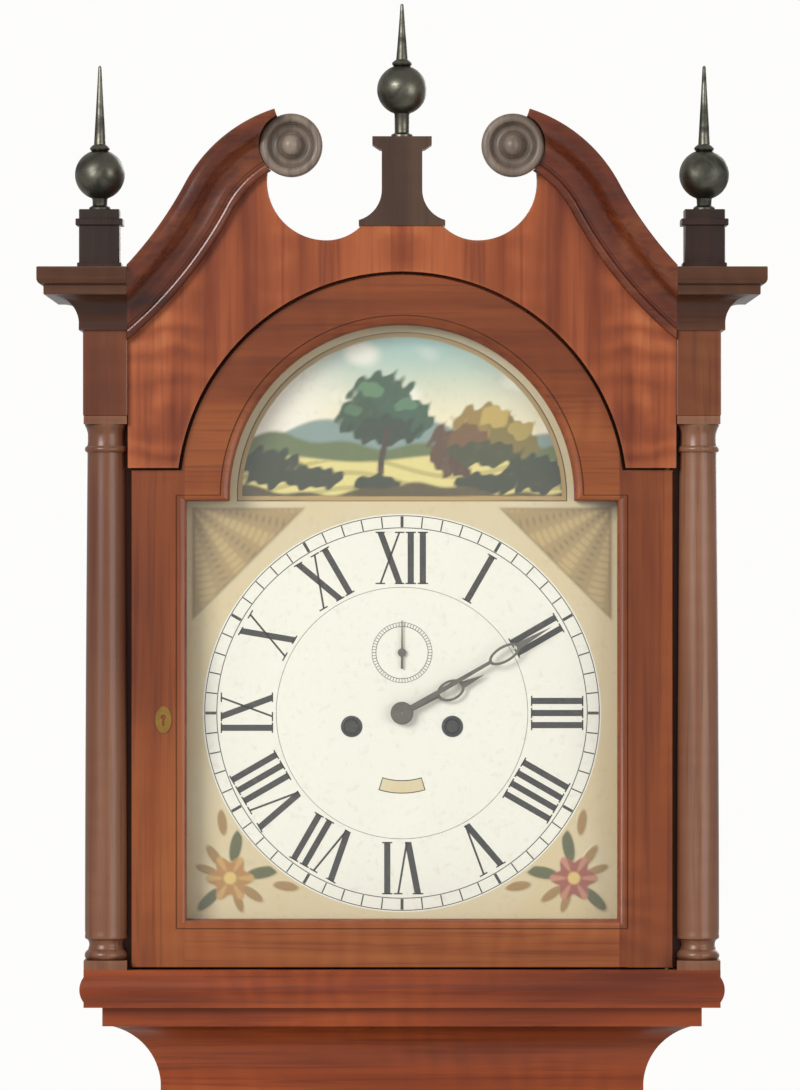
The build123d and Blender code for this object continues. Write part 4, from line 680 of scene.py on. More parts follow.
def piece(name: str, surface: Surface, finish: Finish, body: str, nodes: tuple[str, ...] = (),
          bevel: float = 0.0, smooth: float = 32.0, colours: np.ndarray | None = None,
          flat: bool = False) -> bpy.types.Object:
    """Makes one piece of the clock and hands it to its body.

    Args:
        name: name of the piece.
        surface: its points and faces in millimetres.
        finish: what it is made of.
        body: the moving body that carries it.
        nodes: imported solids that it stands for.
        bevel: width of its softened edges, which are then shaded flat.
        smooth: angle up to which neighbouring faces shade as one.
        colours: red, green, blue and cover for each point of a painted sheet.
        flat: whether the coplanar triangles of a copied solid become whole faces.

    Returns:
        The object, at the origin.
    """
    mesh = bpy.data.meshes.new(name)
    faces = [face for block in surface.faces for face in block.tolist()]
    mesh.from_pydata((surface.verts * MM).tolist(), [], faces)
    if colours is None:
        shell = bmesh.new()
        shell.from_mesh(mesh)
        bmesh.ops.remove_doubles(shell, verts=shell.verts[:], dist=2e-6)
        if flat:
            parts = {"verts": shell.verts[:], "edges": shell.edges[:]}
            bmesh.ops.dissolve_limit(shell, angle_limit=radians(0.4), **parts)
        bmesh.ops.recalc_face_normals(shell, faces=shell.faces[:])
        shell.to_mesh(mesh)
        shell.free()
    else:
        layer = mesh.color_attributes.new(name="Paint", type="FLOAT_COLOR", domain="POINT")
        layer.data.foreach_set("color", colours.astype(np.float32).ravel())
    finish_mesh(mesh, 0.0 if bevel else smooth)
    made = bpy.data.objects.new(name, mesh)
    bpy.context.scene.collection.objects.link(made)
    mesh.materials.append(finish.material())
    if bevel:
        edge = made.modifiers.new("soft_edges", "BEVEL")
        edge.width, edge.segments, edge.limit_method, edge.angle_limit = bevel * MM, 2, "ANGLE", radians(40)
    if nodes:
        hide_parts(*nodes)
    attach(made, body)
    LOG.info("%s: %d faces on %s", name, len(mesh.polygons), body)
    return made


def dressed(node: str, finish: Finish, bevel: float = 0.0, smooth: float = 32.0) -> bpy.types.Object:
    """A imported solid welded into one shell, shaded and given its finish."""
    name, body = node + "_dressed", BODY_OF[node]
    return piece(name, cad_surface(node), finish, body, (node,), bevel, smooth, flat=bevel > 0)


@dataclass
class Hood:
    """The hood with its scroll pediment, columns, cornice, door and rail."""

    half: float = 236.0
    front: float = -104.0
    back: float = 124.7
    block_inner: float = 203.0
    board_front: float = -99.0
    rosette: tuple[float, float] = (82.0, ARCH_Z + 260)
    rosette_r: float = 23.5
    turn: tuple[float, float] = (-160.0, ARCH_Z + 231)
    turn_slope: float = radians(62)
    end_slope: float = radians(17.6)
    hollow_r: float = 280.0
    round_r: float = 113.7
    finial_x: float = 224.0
    finial_y: float = -88.0
    ball_r: float = 18.5
    side_finial: tuple[float, float, float] = (213.0, 239.0, 320.0)
    middle_finial: tuple[float, float, float] = (267.0, 302.0, 366.0)
    column_x: float = 219.5
    column_half: float = 16.0
    column_head: float = ARCH_Z + 38
    cornice_low: float = ARCH_Z + 123.5
    cornice_top: float = ARCH_Z + 169.5
    sill: float = 1644.0
    rail_low: float = 1616.3
    rail_out: float = 51.5
    sight: tuple[float, float, float, float] = (161.0, -314.5, -2.0, 129.0)
    door_edge: tuple[float, float, float, float] = (200.5, -348.5, 20.0, 165.0)
    door_face: float = -93.0
    door_back: float = -73.0
    rebate_y: float = -82.0
    stop_inner: float = 158.0
    stop_outer: float = 178.0
    stop_angle: float = radians(34)

    def neck(self) -> Surface:
        """Left swan neck, two joined arcs from the corner block's plane to the rosette's rim.

        Returns:
            For each distance d below the upper edge, an arc of radius hollow_r plus d and then one of
            radius round_r less d, with ends whose faces follow the cut.
        """
        section = line((0, 29.4), (0.6, 30), (3, 30), through((3, 30), (10, 27), (16, 19)),
                       through((16, 19), (22, 11), (31, 8)), (31, 7), (33, 7),
                       through((33, 7), (36.5, 8.5), (40, 5)))
        section = np.vstack((section, section[::-1] * (1, 0)))
        down, proud = section[:, 0], section[:, 1]
        tilt = np.array([sin(self.turn_slope), -cos(self.turn_slope)])
        hollow_centre = np.array(self.turn) - tilt * self.hollow_r
        round_centre = np.array(self.turn) + tilt * self.round_r
        first = np.arcsin((-self.block_inner - hollow_centre[0]) / (self.hollow_r + down))
        to_rosette = np.array([-self.rosette[0], self.rosette[1]]) - round_centre
        distance = np.hypot(*to_rosette)
        radius = self.round_r - down
        rim = self.rosette_r + 0.3
        share = (radius ** 2 + distance ** 2 - rim ** 2) / (2 * radius * distance)
        meet = atan2(-to_rosette[0], to_rosette[1]) + np.arccos(np.clip(share, -1, 1))
        last = np.where(share < 1, np.maximum(meet, self.end_slope), self.end_slope)
        step = np.linspace(0, 1, 41)[:, None]
        climb = first + (self.turn_slope - first) * step
        over = self.turn_slope + (last - self.turn_slope) * step[1:]
        x = np.vstack((hollow_centre[0] + np.sin(climb) * (self.hollow_r + down),
                       round_centre[0] - np.sin(over) * radius))
        z = np.vstack((hollow_centre[1] - np.cos(climb) * (self.hollow_r + down),
                       round_centre[1] + np.cos(over) * radius))
        y = np.broadcast_to(self.board_front - proud, x.shape)
        surface = grid(np.stack((x, y, z), -1), close_cols=True)
        count = len(section)
        front = np.arange(count // 2 - 1)
        strip = np.stack((front, front + 1, count - 2 - front, count - 1 - front), -1)
        surface.faces += [strip, strip[:, ::-1] + (len(x) - 1) * count]
        return surface

    def rosettes(self) -> Surface:
        """Both rosettes: rim bead, hollow and round boss of a turning about an axis along Y."""
        face, rim = self.board_front, self.rosette_r - 0.2
        proud, boss = face - 11.2, rim - 14.8
        bead = through((rim, proud), (rim - 3.4, proud - 3), (rim - 6.8, proud))
        hollow = through((rim - 7.4, proud + 0.8), (rim - 10.8, proud + 3.4), (boss + 0.6, proud + 0.4))
        slant = boss * sin(pi / 4)
        dome = through((boss, proud), (slant, proud - slant), (0, proud - boss))
        profile = line((0, face), (rim, face), (rim, proud), bead, (rim - 7.2, proud + 0.8), hollow,
                       (boss, proud + 0.4), dome)
        return turned(profile, (-self.rosette[0], self.rosette[1]), upright=False).both()

    def finial(self, x: float, seat: float, ball: float, tip: float) -> Surface:
        """Finial of foot, neck, round ball, collar and a spire that thins along a hollow curve.

        Args:
            x: place across the clock.
            seat: height of its foot, from the arch centre like the next two.
            ball: height of the ball's centre.
            tip: height of its tip.

        Returns:
            The turning about an upright axis.
        """
        neck_r = 6.0
        reach = sqrt(self.ball_r ** 2 - neck_r ** 2)
        seat, ball, tip = seat + ARCH_Z, ball + ARCH_Z, tip + ARCH_Z
        collar = ball + reach
        globe = through((neck_r, ball - reach), (self.ball_r, ball), (neck_r, collar), 32)
        spire = through((4.4, collar + 5), (3.6, collar * 0.7 + tip * 0.3), (1.2, tip - 1), 16)
        profile = line((0, seat), (8, seat), (8, seat + 1.6), (7.4, seat + 2), (5.4, seat + 3.2),
                       (5.6, ball - reach - 1), globe, (7, collar + 0.6), (7.5, collar + 2),
                       (7, collar + 3), (4.4, collar + 5), spire, (0, tip))
        return turned(profile, (x, self.finial_y), sides=64)

    def column(self) -> Surface:
        """Right column: base mouldings, a shaft that thins with a swell, astragal and capital."""
        sill, head, half = self.sill, self.column_head, self.column_half
        rise = np.linspace(0, 1, 17)
        shaft = np.column_stack((15.6 - 1.9 * rise ** 1.6, sill + 30 + (head - 8 - sill - 30) * rise))
        ring_mould = through((14, sill + 7), (15.8, sill + 10.5), (14, sill + 14), 8)
        hollow = through((13, sill + 16), (12.4, sill + 19), (13.6, sill + 22), 6)
        neck_bead = through((13.8, head - 5), (15.7, head - 2.5), (13.8, head), 8)
        cap = through((13.4, head + 8), (14.2, head + 12), (15.7, head + 15), 6)
        profile = line((0, sill + 7), (14, sill + 7), ring_mould, (13, sill + 15), hollow, (15.4, sill + 23),
                       (15.7, sill + 24.5), (15.4, sill + 26), shaft, (13.8, head - 5), neck_bead,
                       (13.4, head + 3), (13.4, head + 7), cap, (15.7, head + 16), (0, head + 16))
        x, y = self.column_x, self.front + half
        across, deep = (x - half, x + half), (y - half, y + half)
        blocks = box(across, deep, (sill, sill + 7)) + box(across, deep, (head + 16, head + 22))
        return turned(profile, (x, y)) + blocks

    def cornice(self) -> Surface:
        """Left cornice return: the section carried along the side and across the corner block."""
        low, top = self.cornice_low, self.cornice_top
        fascia = top - 20.5
        cove = through((3, low + 3), (9, fascia - 6), (23, fascia), 14)
        nose = through((28, fascia + 7), (31.6, fascia + 8.4), (33, fascia + 12), 6)
        section = line((0, low), (3, low), (3, low + 3), cove, (27.6, fascia), (28, fascia + 0.6),
                       (28, fascia + 7), nose, (33, top - 0.6), (32.4, top), (0, top))
        outer, inner = -self.half, -self.block_inner
        corners = np.array([(outer, self.back), (outer, self.front), (inner, self.front)])
        ways = np.array([(-1, 0), (-1, -1), (0, -1)])
        flat = corners[:, None] + section[None, :, :1] * ways[:, None]
        high = np.broadcast_to(section[None, :, 1:], (3, len(section), 1))
        return grid(np.concatenate((flat, high), -1), close_cols=True, caps=True)

    def centre_plinth(self) -> Surface:
        """Middle plinth: an outline of (X, Z) that flares at the foot, carried through its depth."""
        seat, top = ARCH_Z + 201, ARCH_Z + 267
        side = line((32, seat), (32, seat + 4), through((32, seat + 4), (20, seat + 12), (15, seat + 27)),
                    (15, top - 10), (17, top - 9.5), (22, top - 6), (22, top))
        outline = np.vstack((side, side[::-1] * (-1, 1)))
        rows = [np.insert(outline, 1, depth, axis=1) for depth in (self.finial_y - 13, self.finial_y + 13)]
        return grid(np.array(rows), close_cols=True, caps=True)

    def side_plinth(self) -> Surface:
        """Right plinth: a block with a collar and a small cap."""
        seat, top = self.cornice_top, ARCH_Z + self.side_finial[0]
        x, y = self.finial_x, self.finial_y
        return (box((x - 15, x + 15), (y - 15, y + 15), (seat, top))
                + box((x - 17.5, x + 17.5), (y - 17.5, y + 17.5), (top - 12, top - 7))
                + box((x - 16.4, x + 16.4), (y - 16.4, y + 16.4), (seat, seat + 4)))

    def door(self) -> Surface:
        """Door frame with an ovolo and a quirk in front and a glass rebate behind.

        Returns:
            One break-arch outline for each point (share, depth) of the frame's section; the share
            leads from the sight edge at 0 to the outer edge at 1.
        """
        inner, outer = np.array(self.sight), np.array(self.door_edge)
        face, back, rebate = self.door_face, self.door_back, self.rebate_y
        section = line((0, rebate), (0, face + 4), through((0, face + 4), (0.03, face + 1), (0.11, face), 6),
                       (0.14, face), (0.145, face + 0.9), (0.165, face + 0.9), (0.17, face), (0.985, face),
                       (1, face + 0.6), (1, back - 0.6), (0.985, back), (0.162, back), (0.162, rebate))
        rows = []
        for share, depth in section:
            outline = arch_outline(*(inner + (outer - inner) * share))
            rows.append(np.insert(outline, 1, depth, axis=1))
        return grid(np.array(rows), close_rows=True, close_cols=True)

    def door_stop(self) -> Surface:
        """Arched strip on the mask that closes the gap over the door: plates between two radii."""
        way = np.linspace(-self.stop_angle, self.stop_angle, 41)
        rim = np.column_stack((np.sin(way), np.cos(way)))
        inner, outer = rim * self.stop_inner + (0, ARCH_Z), rim * self.stop_outer + (0, ARCH_Z)
        front = self.door_back + 0.4
        return plates(np.stack((inner[:-1], outer[:-1], outer[1:], inner[1:]), 1), front, front + 4.6)

    def build(self) -> None:
        """Makes every piece of the hood."""
        piece("door_stop", self.door_stop(), UPRIGHT, "hood", smooth=0)
        piece("swan_necks", self.neck().both(), DARK_MOULD, "hood", ("swan_neck_mouldings",))
        piece("rosettes", self.rosettes(), ROSETTE, "hood", ("scroll_rosettes",))
        finials = self.finial(self.finial_x, *self.side_finial).both() + self.finial(0, *self.middle_finial)
        piece("finial_set", finials, FINIAL_BRASS, "hood", ("finials",), smooth=40)
        piece("side_plinths", self.side_plinth().both(), PLINTH, "hood", ("finial_plinths",), bevel=0.7)
        piece("centre_plinth", self.centre_plinth(), CENTRE_PLINTH, "hood")
        piece("columns", self.column().both(), COLUMN, "hood", ("hood_columns",))
        piece("cornice", self.cornice().both(), CORNICE, "hood", ("cornice_mouldings",))
        low, top, out = self.rail_low, self.sill, self.rail_out
        nose = through((out, low + 4), (out + 3, top - 13.8), (out, top - 5))
        rail = line((0, low), (out, low), (out, low + 4), nose, (out, top), (0, top))
        inside = self.half + 2.5 - out - 3
        rail_surface = wrapped(inside, self.front - 5 + out + 3, self.back, rail)
        piece("hood_rail", rail_surface, LEVEL, "hood", ("hood_base_frame",))
        piece("door_frame", self.door(), HOOD_DOOR, "hood_door", ("hood_door_frame",))
        dressed("hood_door_glass", Glass())
        dressed("hood_door_fittings", FITTING_BRASS)
        dressed("tympanum_board", FLAME, bevel=0.8)
        dressed("corner_blocks", BLOCK, bevel=0.9)
        dressed("hood_sides", UPRIGHT, bevel=0.9)
        dressed("hood_top_board", PINE, bevel=0.9)
        dressed("dial_mask", UPRIGHT, bevel=0.6)


@dataclass
class Case:
    """The trunk, base, feet and backboard."""

    trunk_half: float = 175.0
    trunk_front: float = -48.0
    back: float = 125.0
    trunk_top: float = 1551.0
    hood_low: float = 1616.0
    trunk_low: float = 630.0
    waist_low: float = 570.0
    base_half: float = 229.0
    base_front: float = -102.0
    base_low: float = 110.0
    shaft: tuple[float, float] = (666.0, 1515.0)
    block: float = 22.0
    block_long: float = 34.0
    corner: tuple[float, float] = (153.0, -26.0)
    quarter_r: float = 21.4
    flute_r: float = 1.9

    def quarter_column(self) -> Surface:
        """Right quarter column with its two square blocks and their beads.

        Returns:
            A quarter circle whose radius drops by the depth of five round flutes, carried up.
        """
        low, high = self.shaft
        angle = np.radians(np.linspace(0, 90, 181))
        middles = np.radians(12 + 16.5 * np.arange(5))
        off = self.quarter_r * np.abs(np.sin(angle[:, None] - middles[None]))
        depth = np.sqrt(np.clip(self.flute_r ** 2 - off ** 2, 0, None)).max(axis=1)
        radius = self.quarter_r - depth
        arc = np.column_stack((radius * np.cos(angle), -radius * np.sin(angle)))
        section = np.vstack(((0, 0), arc)) + self.corner
        rows = [np.column_stack((section, np.full(len(section), z))) for z in self.shaft]
        shaft = grid(np.array(rows), close_cols=True, caps=True)
        x, y = (self.corner[0], self.corner[0] + self.block), (self.corner[1] - self.block, self.corner[1])
        ends = box(x, y, (low - self.block_long, low)) + box(x, y, (high, high + self.block_long))
        proud = 0.4
        across, deep = (x[0], x[1] + proud), (y[0] - proud, y[1])
        beads = box(across, deep, (low - 6, low - 3)) + box(across, deep, (high + 3, high + 6))
        return shaft + ends + beads

    def build(self) -> None:
        """Makes every piece of the case."""
        top, low = self.hood_low, self.trunk_top
        cove = through((5, low + 7), (14, low + 32), (41, low + 51), 16)
        throat = line((0, low), (5, low), (5, low + 7), cove, (47, low + 51), (47, top), (0, top))
        around_trunk = (self.trunk_half, self.trunk_front, self.back)
        piece("throat", wrapped(*around_trunk, throat), THROAT, "case", ("throat_moulding",))
        top, low = self.trunk_low, self.waist_low
        cove = through((5, top - 8), (15, top - 32), (42, low + 16), 16)
        nose = through((48, low + 16), (57, low + 9), (54, low))
        waist = line((0, top), (5, top), (5, top - 8), cove, (48, low + 16), nose, (0, low))
        piece("waist", wrapped(*around_trunk, waist), DARK_MOULD, "case", ("waist_moulding",))
        low = self.base_low
        swell = through((18, low + 18), (16.5, low + 24.5), (10.8, low + 28))
        hollow = through((10.8, low + 28), (5, low + 31.5), (3, low + 38))
        foot = line((0, low), (18, low), (18, low + 18), swell, hollow, (3, low + 40), (0, low + 40))
        around_base = (self.base_half, self.base_front, self.back)
        piece("base_mould", wrapped(*around_base, foot), DARK_MOULD, "case", ("base_moulding",))
        columns = self.quarter_column().both()
        piece("quarter_columns", columns, UPRIGHT, "case", ("trunk_quarter_columns",), smooth=28)
        dressed("trunk_sides", UPRIGHT, bevel=0.8)
        dressed("trunk_front_frame", FRAMED, bevel=0.8)
        dressed("trunk_door", TRUNK_DOOR, bevel=0.5)
        dressed("trunk_door_fittings", FITTING_BRASS)
        dressed("trunk_hinge_leaves", FITTING_BRASS)
        dressed("base_box", BASE, bevel=0.8)
        dressed("bracket_feet", LEVEL, smooth=25)
        dressed("backboard", PINE, bevel=0.8)
        dressed("seatboard", PINE, bevel=0.8)


# The painted dial


def soft(low: float, high: float, value: np.ndarray) -> np.ndarray:
    """Smooth step from 0 at low to 1 at high: t squared times (3 less 2 t)."""
    t = np.clip((value - low) / (high - low), 0, 1)
    return t * t * (3 - 2 * t)


def over(base: np.ndarray, colour: tuple, mask: np.ndarray) -> np.ndarray:
    """Colours with another one laid over them by a mask."""
    return base + (np.array(linear(*colour)[:3]) - base) * mask[..., None]


def oval(a: np.ndarray, b: np.ndarray, at: tuple[float, float], size: tuple[float, float],
         turn: float) -> np.ndarray:
    """Mask of a soft-edged oval: 1 inside, 0 outside, turned by an angle in degrees."""
    c, s = cos(radians(turn)), sin(radians(turn))
    u = ((a - at[0]) * c + (b - at[1]) * s) / size[0]
    v = (-(a - at[0]) * s + (b - at[1]) * c) / size[1]
    return 1 - soft(0.8, 1.15, np.hypot(u, v))


def leaves(u: np.ndarray, v: np.ndarray, at: tuple[float, float], size: tuple[float, float],
           seed: float) -> np.ndarray:
    """Mask of foliage: an oval whose reach is broken by products of sines."""
    reach = np.hypot((u - at[0]) / size[0], (v - at[1]) / size[1])
    coarse = 0.16 * np.sin(41 * u + seed) * np.sin(37 * v + 2 * seed)
    fine = 0.1 * np.sin(73 * u - 59 * v + 3 * seed)
    return 1 - soft(0.82, 1.02, reach + (coarse + fine))


def covered(points: np.ndarray, paint: np.ndarray, cover: np.ndarray) -> tuple[Surface, np.ndarray]:
    """The painted cells of a sheet.

    Args:
        points: grid of places.
        paint: grid of colours.
        cover: grid of how far the paint hides the ground.

    Returns:
        The cells with more than a trace of cover, and colour with cover for each point left.
    """
    sheet = grid(points)
    faces = sheet.faces[0]
    faces = faces[cover.reshape(-1)[faces].max(axis=1) > TRACE]
    used, number = np.unique(faces, return_inverse=True)
    colours = np.concatenate((paint, cover[..., None]), -1).reshape(-1, 4)
    return Surface(sheet.verts[used], [number.reshape(-1, 4)]), colours[used]


# Foliage of the picture as (place, size, colour), in shares of the arch.
GROVE = (
    ((0.26, 0.3), (0.1, 0.16), (84, 54, 28)), ((0.36, 0.26), (0.08, 0.14), (72, 44, 24)),
    ((0.5, 0.44), (0.2, 0.14), (146, 118, 46)), ((0.66, 0.36), (0.18, 0.13), (122, 106, 42)),
    ((0.4, 0.36), (0.14, 0.1), (110, 76, 34)), ((0.56, 0.5), (0.1, 0.07), (186, 160, 78)),
    ((0.72, 0.42), (0.08, 0.06), (170, 148, 70)), ((0.5, 0.28), (0.24, 0.08), (58, 62, 26)),
    ((-0.12, 0.62), (0.2, 0.15), (38, 76, 50)), ((-0.26, 0.5), (0.15, 0.11), (34, 66, 40)),
    ((0.04, 0.5), (0.16, 0.12), (40, 80, 56)), ((-0.1, 0.42), (0.22, 0.09), (26, 50, 28)),
    ((-0.19, 0.66), (0.08, 0.05), (84, 124, 84)), ((0.02, 0.57), (0.07, 0.04), (76, 118, 84)),
    ((-0.3, 0.54), (0.06, 0.035), (70, 104, 66)),
)
SHRUBS = (((-0.8, 0.2), (0.2, 0.12)), ((-0.55, 0.14), (0.2, 0.07)), ((0.82, 0.16), (0.22, 0.12)),
          ((0.5, 0.1), (0.2, 0.07)), ((-0.16, 0.1), (0.16, 0.06)))
# Leaves of the lower corner flowers as (turn in degrees, distance, length).
SPRAY_LEAVES = ((10, 24, 13), (80, 24, 13), (45, -22, 12), (-35, 20, 10), (125, 20, 10), (-70, 18, 9),
                (160, 18, 9), (30, 40, 9), (62, 40, 9), (-8, 42, 10), (98, 42, 10))


@dataclass
class Dial:
    """The painted dial: ground, numerals, minute track, corner sprays, arch picture and hands."""

    front: float = -63.0
    numerals: tuple[str, ...] = ("I", "II", "III", "IIII", "V", "VI", "VII", "VIII", "IX", "X", "XI", "XII")
    foot_r: float = 96.0
    height: float = 39.0
    paint_thick: float = 0.12
    track: tuple[tuple[float, float], ...] = ((137.6, 138.2), (146.6, 147.2), (93.5, 93.8))
    seconds_track: tuple[tuple[float, float], ...] = ((19.2, 19.6), (22.2, 22.5))
    seconds_up: float = 45.0
    disc_clear_r: float = 149.5
    sheet: float = 96.0
    sheet_cells: int = 110

    def bar(self, foot: tuple[float, float], head: tuple[float, float], width: float) -> list:
        """Four corners of a bar that may lean and ends level."""
        (x0, z0), (x1, z1), w = foot, head, width / 2
        return [(x0 - w, z0), (x0 + w, z0), (x1 + w, z1), (x1 - w, z1)]

    def serif(self, at: float, high: bool, width: float) -> list:
        """Level stroke of 1 mm at the head or the foot of a letter."""
        low = self.height - 1 if high else 0.0
        return self.bar((at, low), (at, low + 1), width)

    def letter(self, kind: str, x: float) -> list:
        """Bars of one letter.

        Args:
            kind: I, V or X.
            x: its middle.

        Returns:
            Four corners for each bar and serif, in the letter's own plane.
        """
        h = self.height
        if kind == "I":
            strokes = [((0, 0), (0, h), 4.6)]
            ends = [(0, True, 7.6), (0, False, 7.6)]
        elif kind == "V":
            strokes = [((-7.4, h), (0, 0), 4.8), ((7.4, h), (0.9, 0), 1.5)]
            ends = [(-7.4, True, 8.0), (7.4, True, 6.4)]
        else:
            strokes = [((-7.2, h), (7.2, 0), 4.8), ((7.2, h), (-7.2, 0), 1.5)]
            ends = [(at, high, 7.0) for high in (True, False) for at in (-7.2, 7.2)]
        bars = [self.bar(*stroke) for stroke in strokes] + [self.serif(*end) for end in ends]
        return [[(x + across, up) for across, up in corners] for corners in bars]

    def placed(self, quads: np.ndarray, clockwise: float, radius: float) -> np.ndarray:
        """Flat corners set on the dial: out along the radius by y and round clockwise by x."""
        c, s = cos(radians(clockwise)), sin(radians(clockwise))
        x, y = quads[..., 0], quads[..., 1] + radius
        return np.stack((y * s + x * c, DIAL_Z + y * c - x * s), -1)

    def chapter(self) -> Surface:
        """Numerals, minute track with its strokes, and the seconds circle."""
        bars = []
        for hour, text in enumerate(self.numerals, 1):
            widths = [9.0 if kind == "I" else 22.0 for kind in text]
            at, quads = -sum(widths) / 2, []
            for kind, width in zip(text, widths):
                quads += self.letter(kind, at + width / 2)
                at += width
            bars.append(self.placed(np.array(quads), 30 * hour, self.foot_r))
        for minute in range(60):
            w = 1.1 if minute % 5 == 0 else 0.45
            stroke = np.array([[(-w, 0), (w, 0), (w, 8), (-w, 8)]])
            bars.append(self.placed(stroke, 6 * minute, 138.4))
            small = np.array([[(-0.18, 0), (0.18, 0), (0.18, 2.6), (-0.18, 2.6)]])
            bars.append(self.placed(small, 6 * minute, 19.6) + (0, self.seconds_up))
        depths = (self.front - self.paint_thick, self.front)
        surface = plates(np.vstack(bars), *depths)
        for up, circles in ((0, self.track), (self.seconds_up, self.seconds_track)):
            for inner, outer in circles:
                surface += ring((0, DIAL_Z + up), inner, outer, *depths)
        return surface

    def sector(self, low: float, high: float, half_angle: float, front: float) -> Surface:
        """Curved slot under the middle of the dial.

        Args:
            low: inner radius.
            high: outer radius.
            half_angle: half its sweep in degrees.
            front: depth of its face.

        Returns:
            Plates between the two radii.
        """
        way = np.radians(180 + np.linspace(-half_angle, half_angle, 25))
        inner = np.column_stack((np.sin(way), np.cos(way))) * low + (0, DIAL_Z)
        outer = np.column_stack((np.sin(way), np.cos(way))) * high + (0, DIAL_Z)
        return plates(np.stack((inner[:-1], outer[:-1], outer[1:], inner[1:]), 1), front, self.front)

    def picture(self) -> tuple[Surface, np.ndarray]:
        """Arch picture: a field with a tree, shrubs and hills.

        Returns:
            Columns of points from the sill up to the arc, and their colours.
        """
        radius, sill, cols, rows = 123.0, -3.0, 260, 120
        x = radius * np.sin(np.linspace(-pi / 2, pi / 2, cols))[None, :] * 0.9995
        top = np.sqrt(radius ** 2 - x ** 2)
        z = sill + (top - sill) * np.linspace(0, 1, rows)[:, None]
        x = np.broadcast_to(x, z.shape)
        u, v = x / radius, (z - sill) / (radius - sill)
        low, high = np.array(linear(236, 226, 190)[:3]), np.array(linear(150, 186, 178)[:3])
        sky = low + soft(0.42, 1.0, v)[..., None] * (high - low)
        cloud = soft(0.1, 0.9, np.sin(5 * u + 7 * v) * np.sin(9 * u - 4 * v + 1) * np.sin(13 * v + 2 * u))
        paint = over(sky, (242, 238, 222), np.maximum(cloud, soft(-0.25, -0.7, u)) * 0.85)
        far = 0.42 + 0.06 * np.sin(3.4 * u + 2.2) + 0.03 * np.sin(9 * u)
        paint = over(paint, (126, 148, 140), soft(0.02, -0.01, v - far))
        mid = 0.32 + 0.07 * np.exp(-((u + 0.75) / 0.3) ** 2) + 0.02 * np.sin(14 * u)
        paint = over(paint, (92, 108, 62), soft(0.02, -0.01, v - mid))
        paint = over(paint, (222, 208, 132), soft(0.015, -0.01, v - (0.25 + 0.02 * np.sin(6 * u))))
        furrow = soft(0.2, 0.9, np.sin(70 * v + 4 * np.sin(5 * u))) * (v < 0.24)
        paint = over(paint, (160, 150, 78), furrow * 0.6)
        for at, size, colour in GROVE:
            paint = over(paint, colour, leaves(u, v, at, size, 9 * at[0]))
        stem = soft(0.026, 0.012, np.abs(u + 0.1 + 0.03 * np.sin(9 * v)))
        paint = over(paint, (56, 36, 20), stem * (v < 0.44) * (v > 0.16))
        for at, size in SHRUBS:
            paint = over(paint, (38, 48, 22), leaves(u, v, at, size, 5 + 7 * at[0]))
        near = 0.07 + 0.03 * np.sin(5 * u + 1) + 0.012 * np.sin(19 * u)
        paint = over(paint, (78, 66, 30), soft(0.015, -0.01, v - near))
        edge = np.minimum(radius - np.hypot(x, z), z - sill)
        paint = over(paint, (176, 146, 84), soft(4.2, 3.6, edge))
        paint = over(paint, (74, 58, 36), soft(1.0, 0.6, edge))
        points = np.stack((x, np.full_like(x, self.front - 0.15), z + ARCH_Z), -1)
        colours = np.concatenate((paint, np.ones((*paint.shape[:2], 1))), -1)
        return grid(points), colours.reshape(-1, 4)

    def fan(self, a: np.ndarray, b: np.ndarray, from_disc: np.ndarray) -> tuple[np.ndarray, np.ndarray]:
        """Fan of gilt scales for an upper corner.

        Args:
            a: distance in from the side.
            b: distance down from the top.
            from_disc: distance from the white disc.

        Returns:
            Cover and colours.
        """
        fan = soft(0, 2.5, from_disc) * soft(0, 2.5, a - 3) * soft(0, 2.5, b - 3) * soft(2, -2, a + b - 92)
        reach, way = np.hypot(a, b), np.arctan2(b, a)
        scale = np.sin(reach * 0.62) * np.cos(way * 14 + np.floor(reach * 0.62 / pi) * pi)
        paint = np.broadcast_to(np.array(linear(158, 132, 80)[:3]), (*a.shape, 3))
        paint = over(paint, (188, 162, 104), soft(-0.1, 0.6, scale) * 0.8)
        paint = over(paint, (116, 92, 52), soft(0.5, 0.95, -scale) * 0.6)
        inward = np.minimum(np.minimum(a, b) - 4, np.minimum(from_disc - 2, 92 - a - b) * 0.8)
        return fan * 0.92, over(paint, (122, 98, 56), soft(3.5, 0, inward) * 0.7)

    def flower(self, a: np.ndarray, b: np.ndarray, from_disc: np.ndarray,
               red: bool) -> tuple[np.ndarray, np.ndarray]:
        """Flower with leaves for a lower corner.

        Args:
            a: distance in from the side.
            b: distance up from the foot.
            from_disc: distance from the white disc.
            red: whether its petals are red, not gold.

        Returns:
            Cover and colours.
        """
        middle = (32.0, 30.0)
        cover = np.zeros_like(a)
        paint = np.broadcast_to(np.array(linear(158, 132, 80)[:3]), (*a.shape, 3))
        for turn, far, size in SPRAY_LEAVES:
            at = (middle[0] + far * cos(radians(turn)), middle[1] + far * sin(radians(turn)))
            leaf = oval(a, b, at, (size, size * 0.36), turn)
            paint = over(paint, (82, 86, 44) if size > 11 else (156, 120, 62), leaf)
            cover = np.maximum(cover, leaf)
        reach = np.hypot(a - middle[0], b - middle[1])
        lobes = np.cos(6 * np.arctan2(b - middle[1], a - middle[0]))
        petals = soft(1.2, -1.2, reach - 15 - 2.8 * lobes)
        paint = over(paint, (150, 72, 56) if red else (172, 122, 56), petals)
        shine = soft(0.3, 0.9, lobes) * petals * soft(3, 9, reach) * 0.6
        paint = over(paint, (204, 150, 112) if red else (206, 168, 98), shine)
        paint = over(paint, (214, 184, 104), soft(1, -1, reach - 4.6))
        return np.maximum(cover, petals) * soft(0, 1.5, from_disc), paint

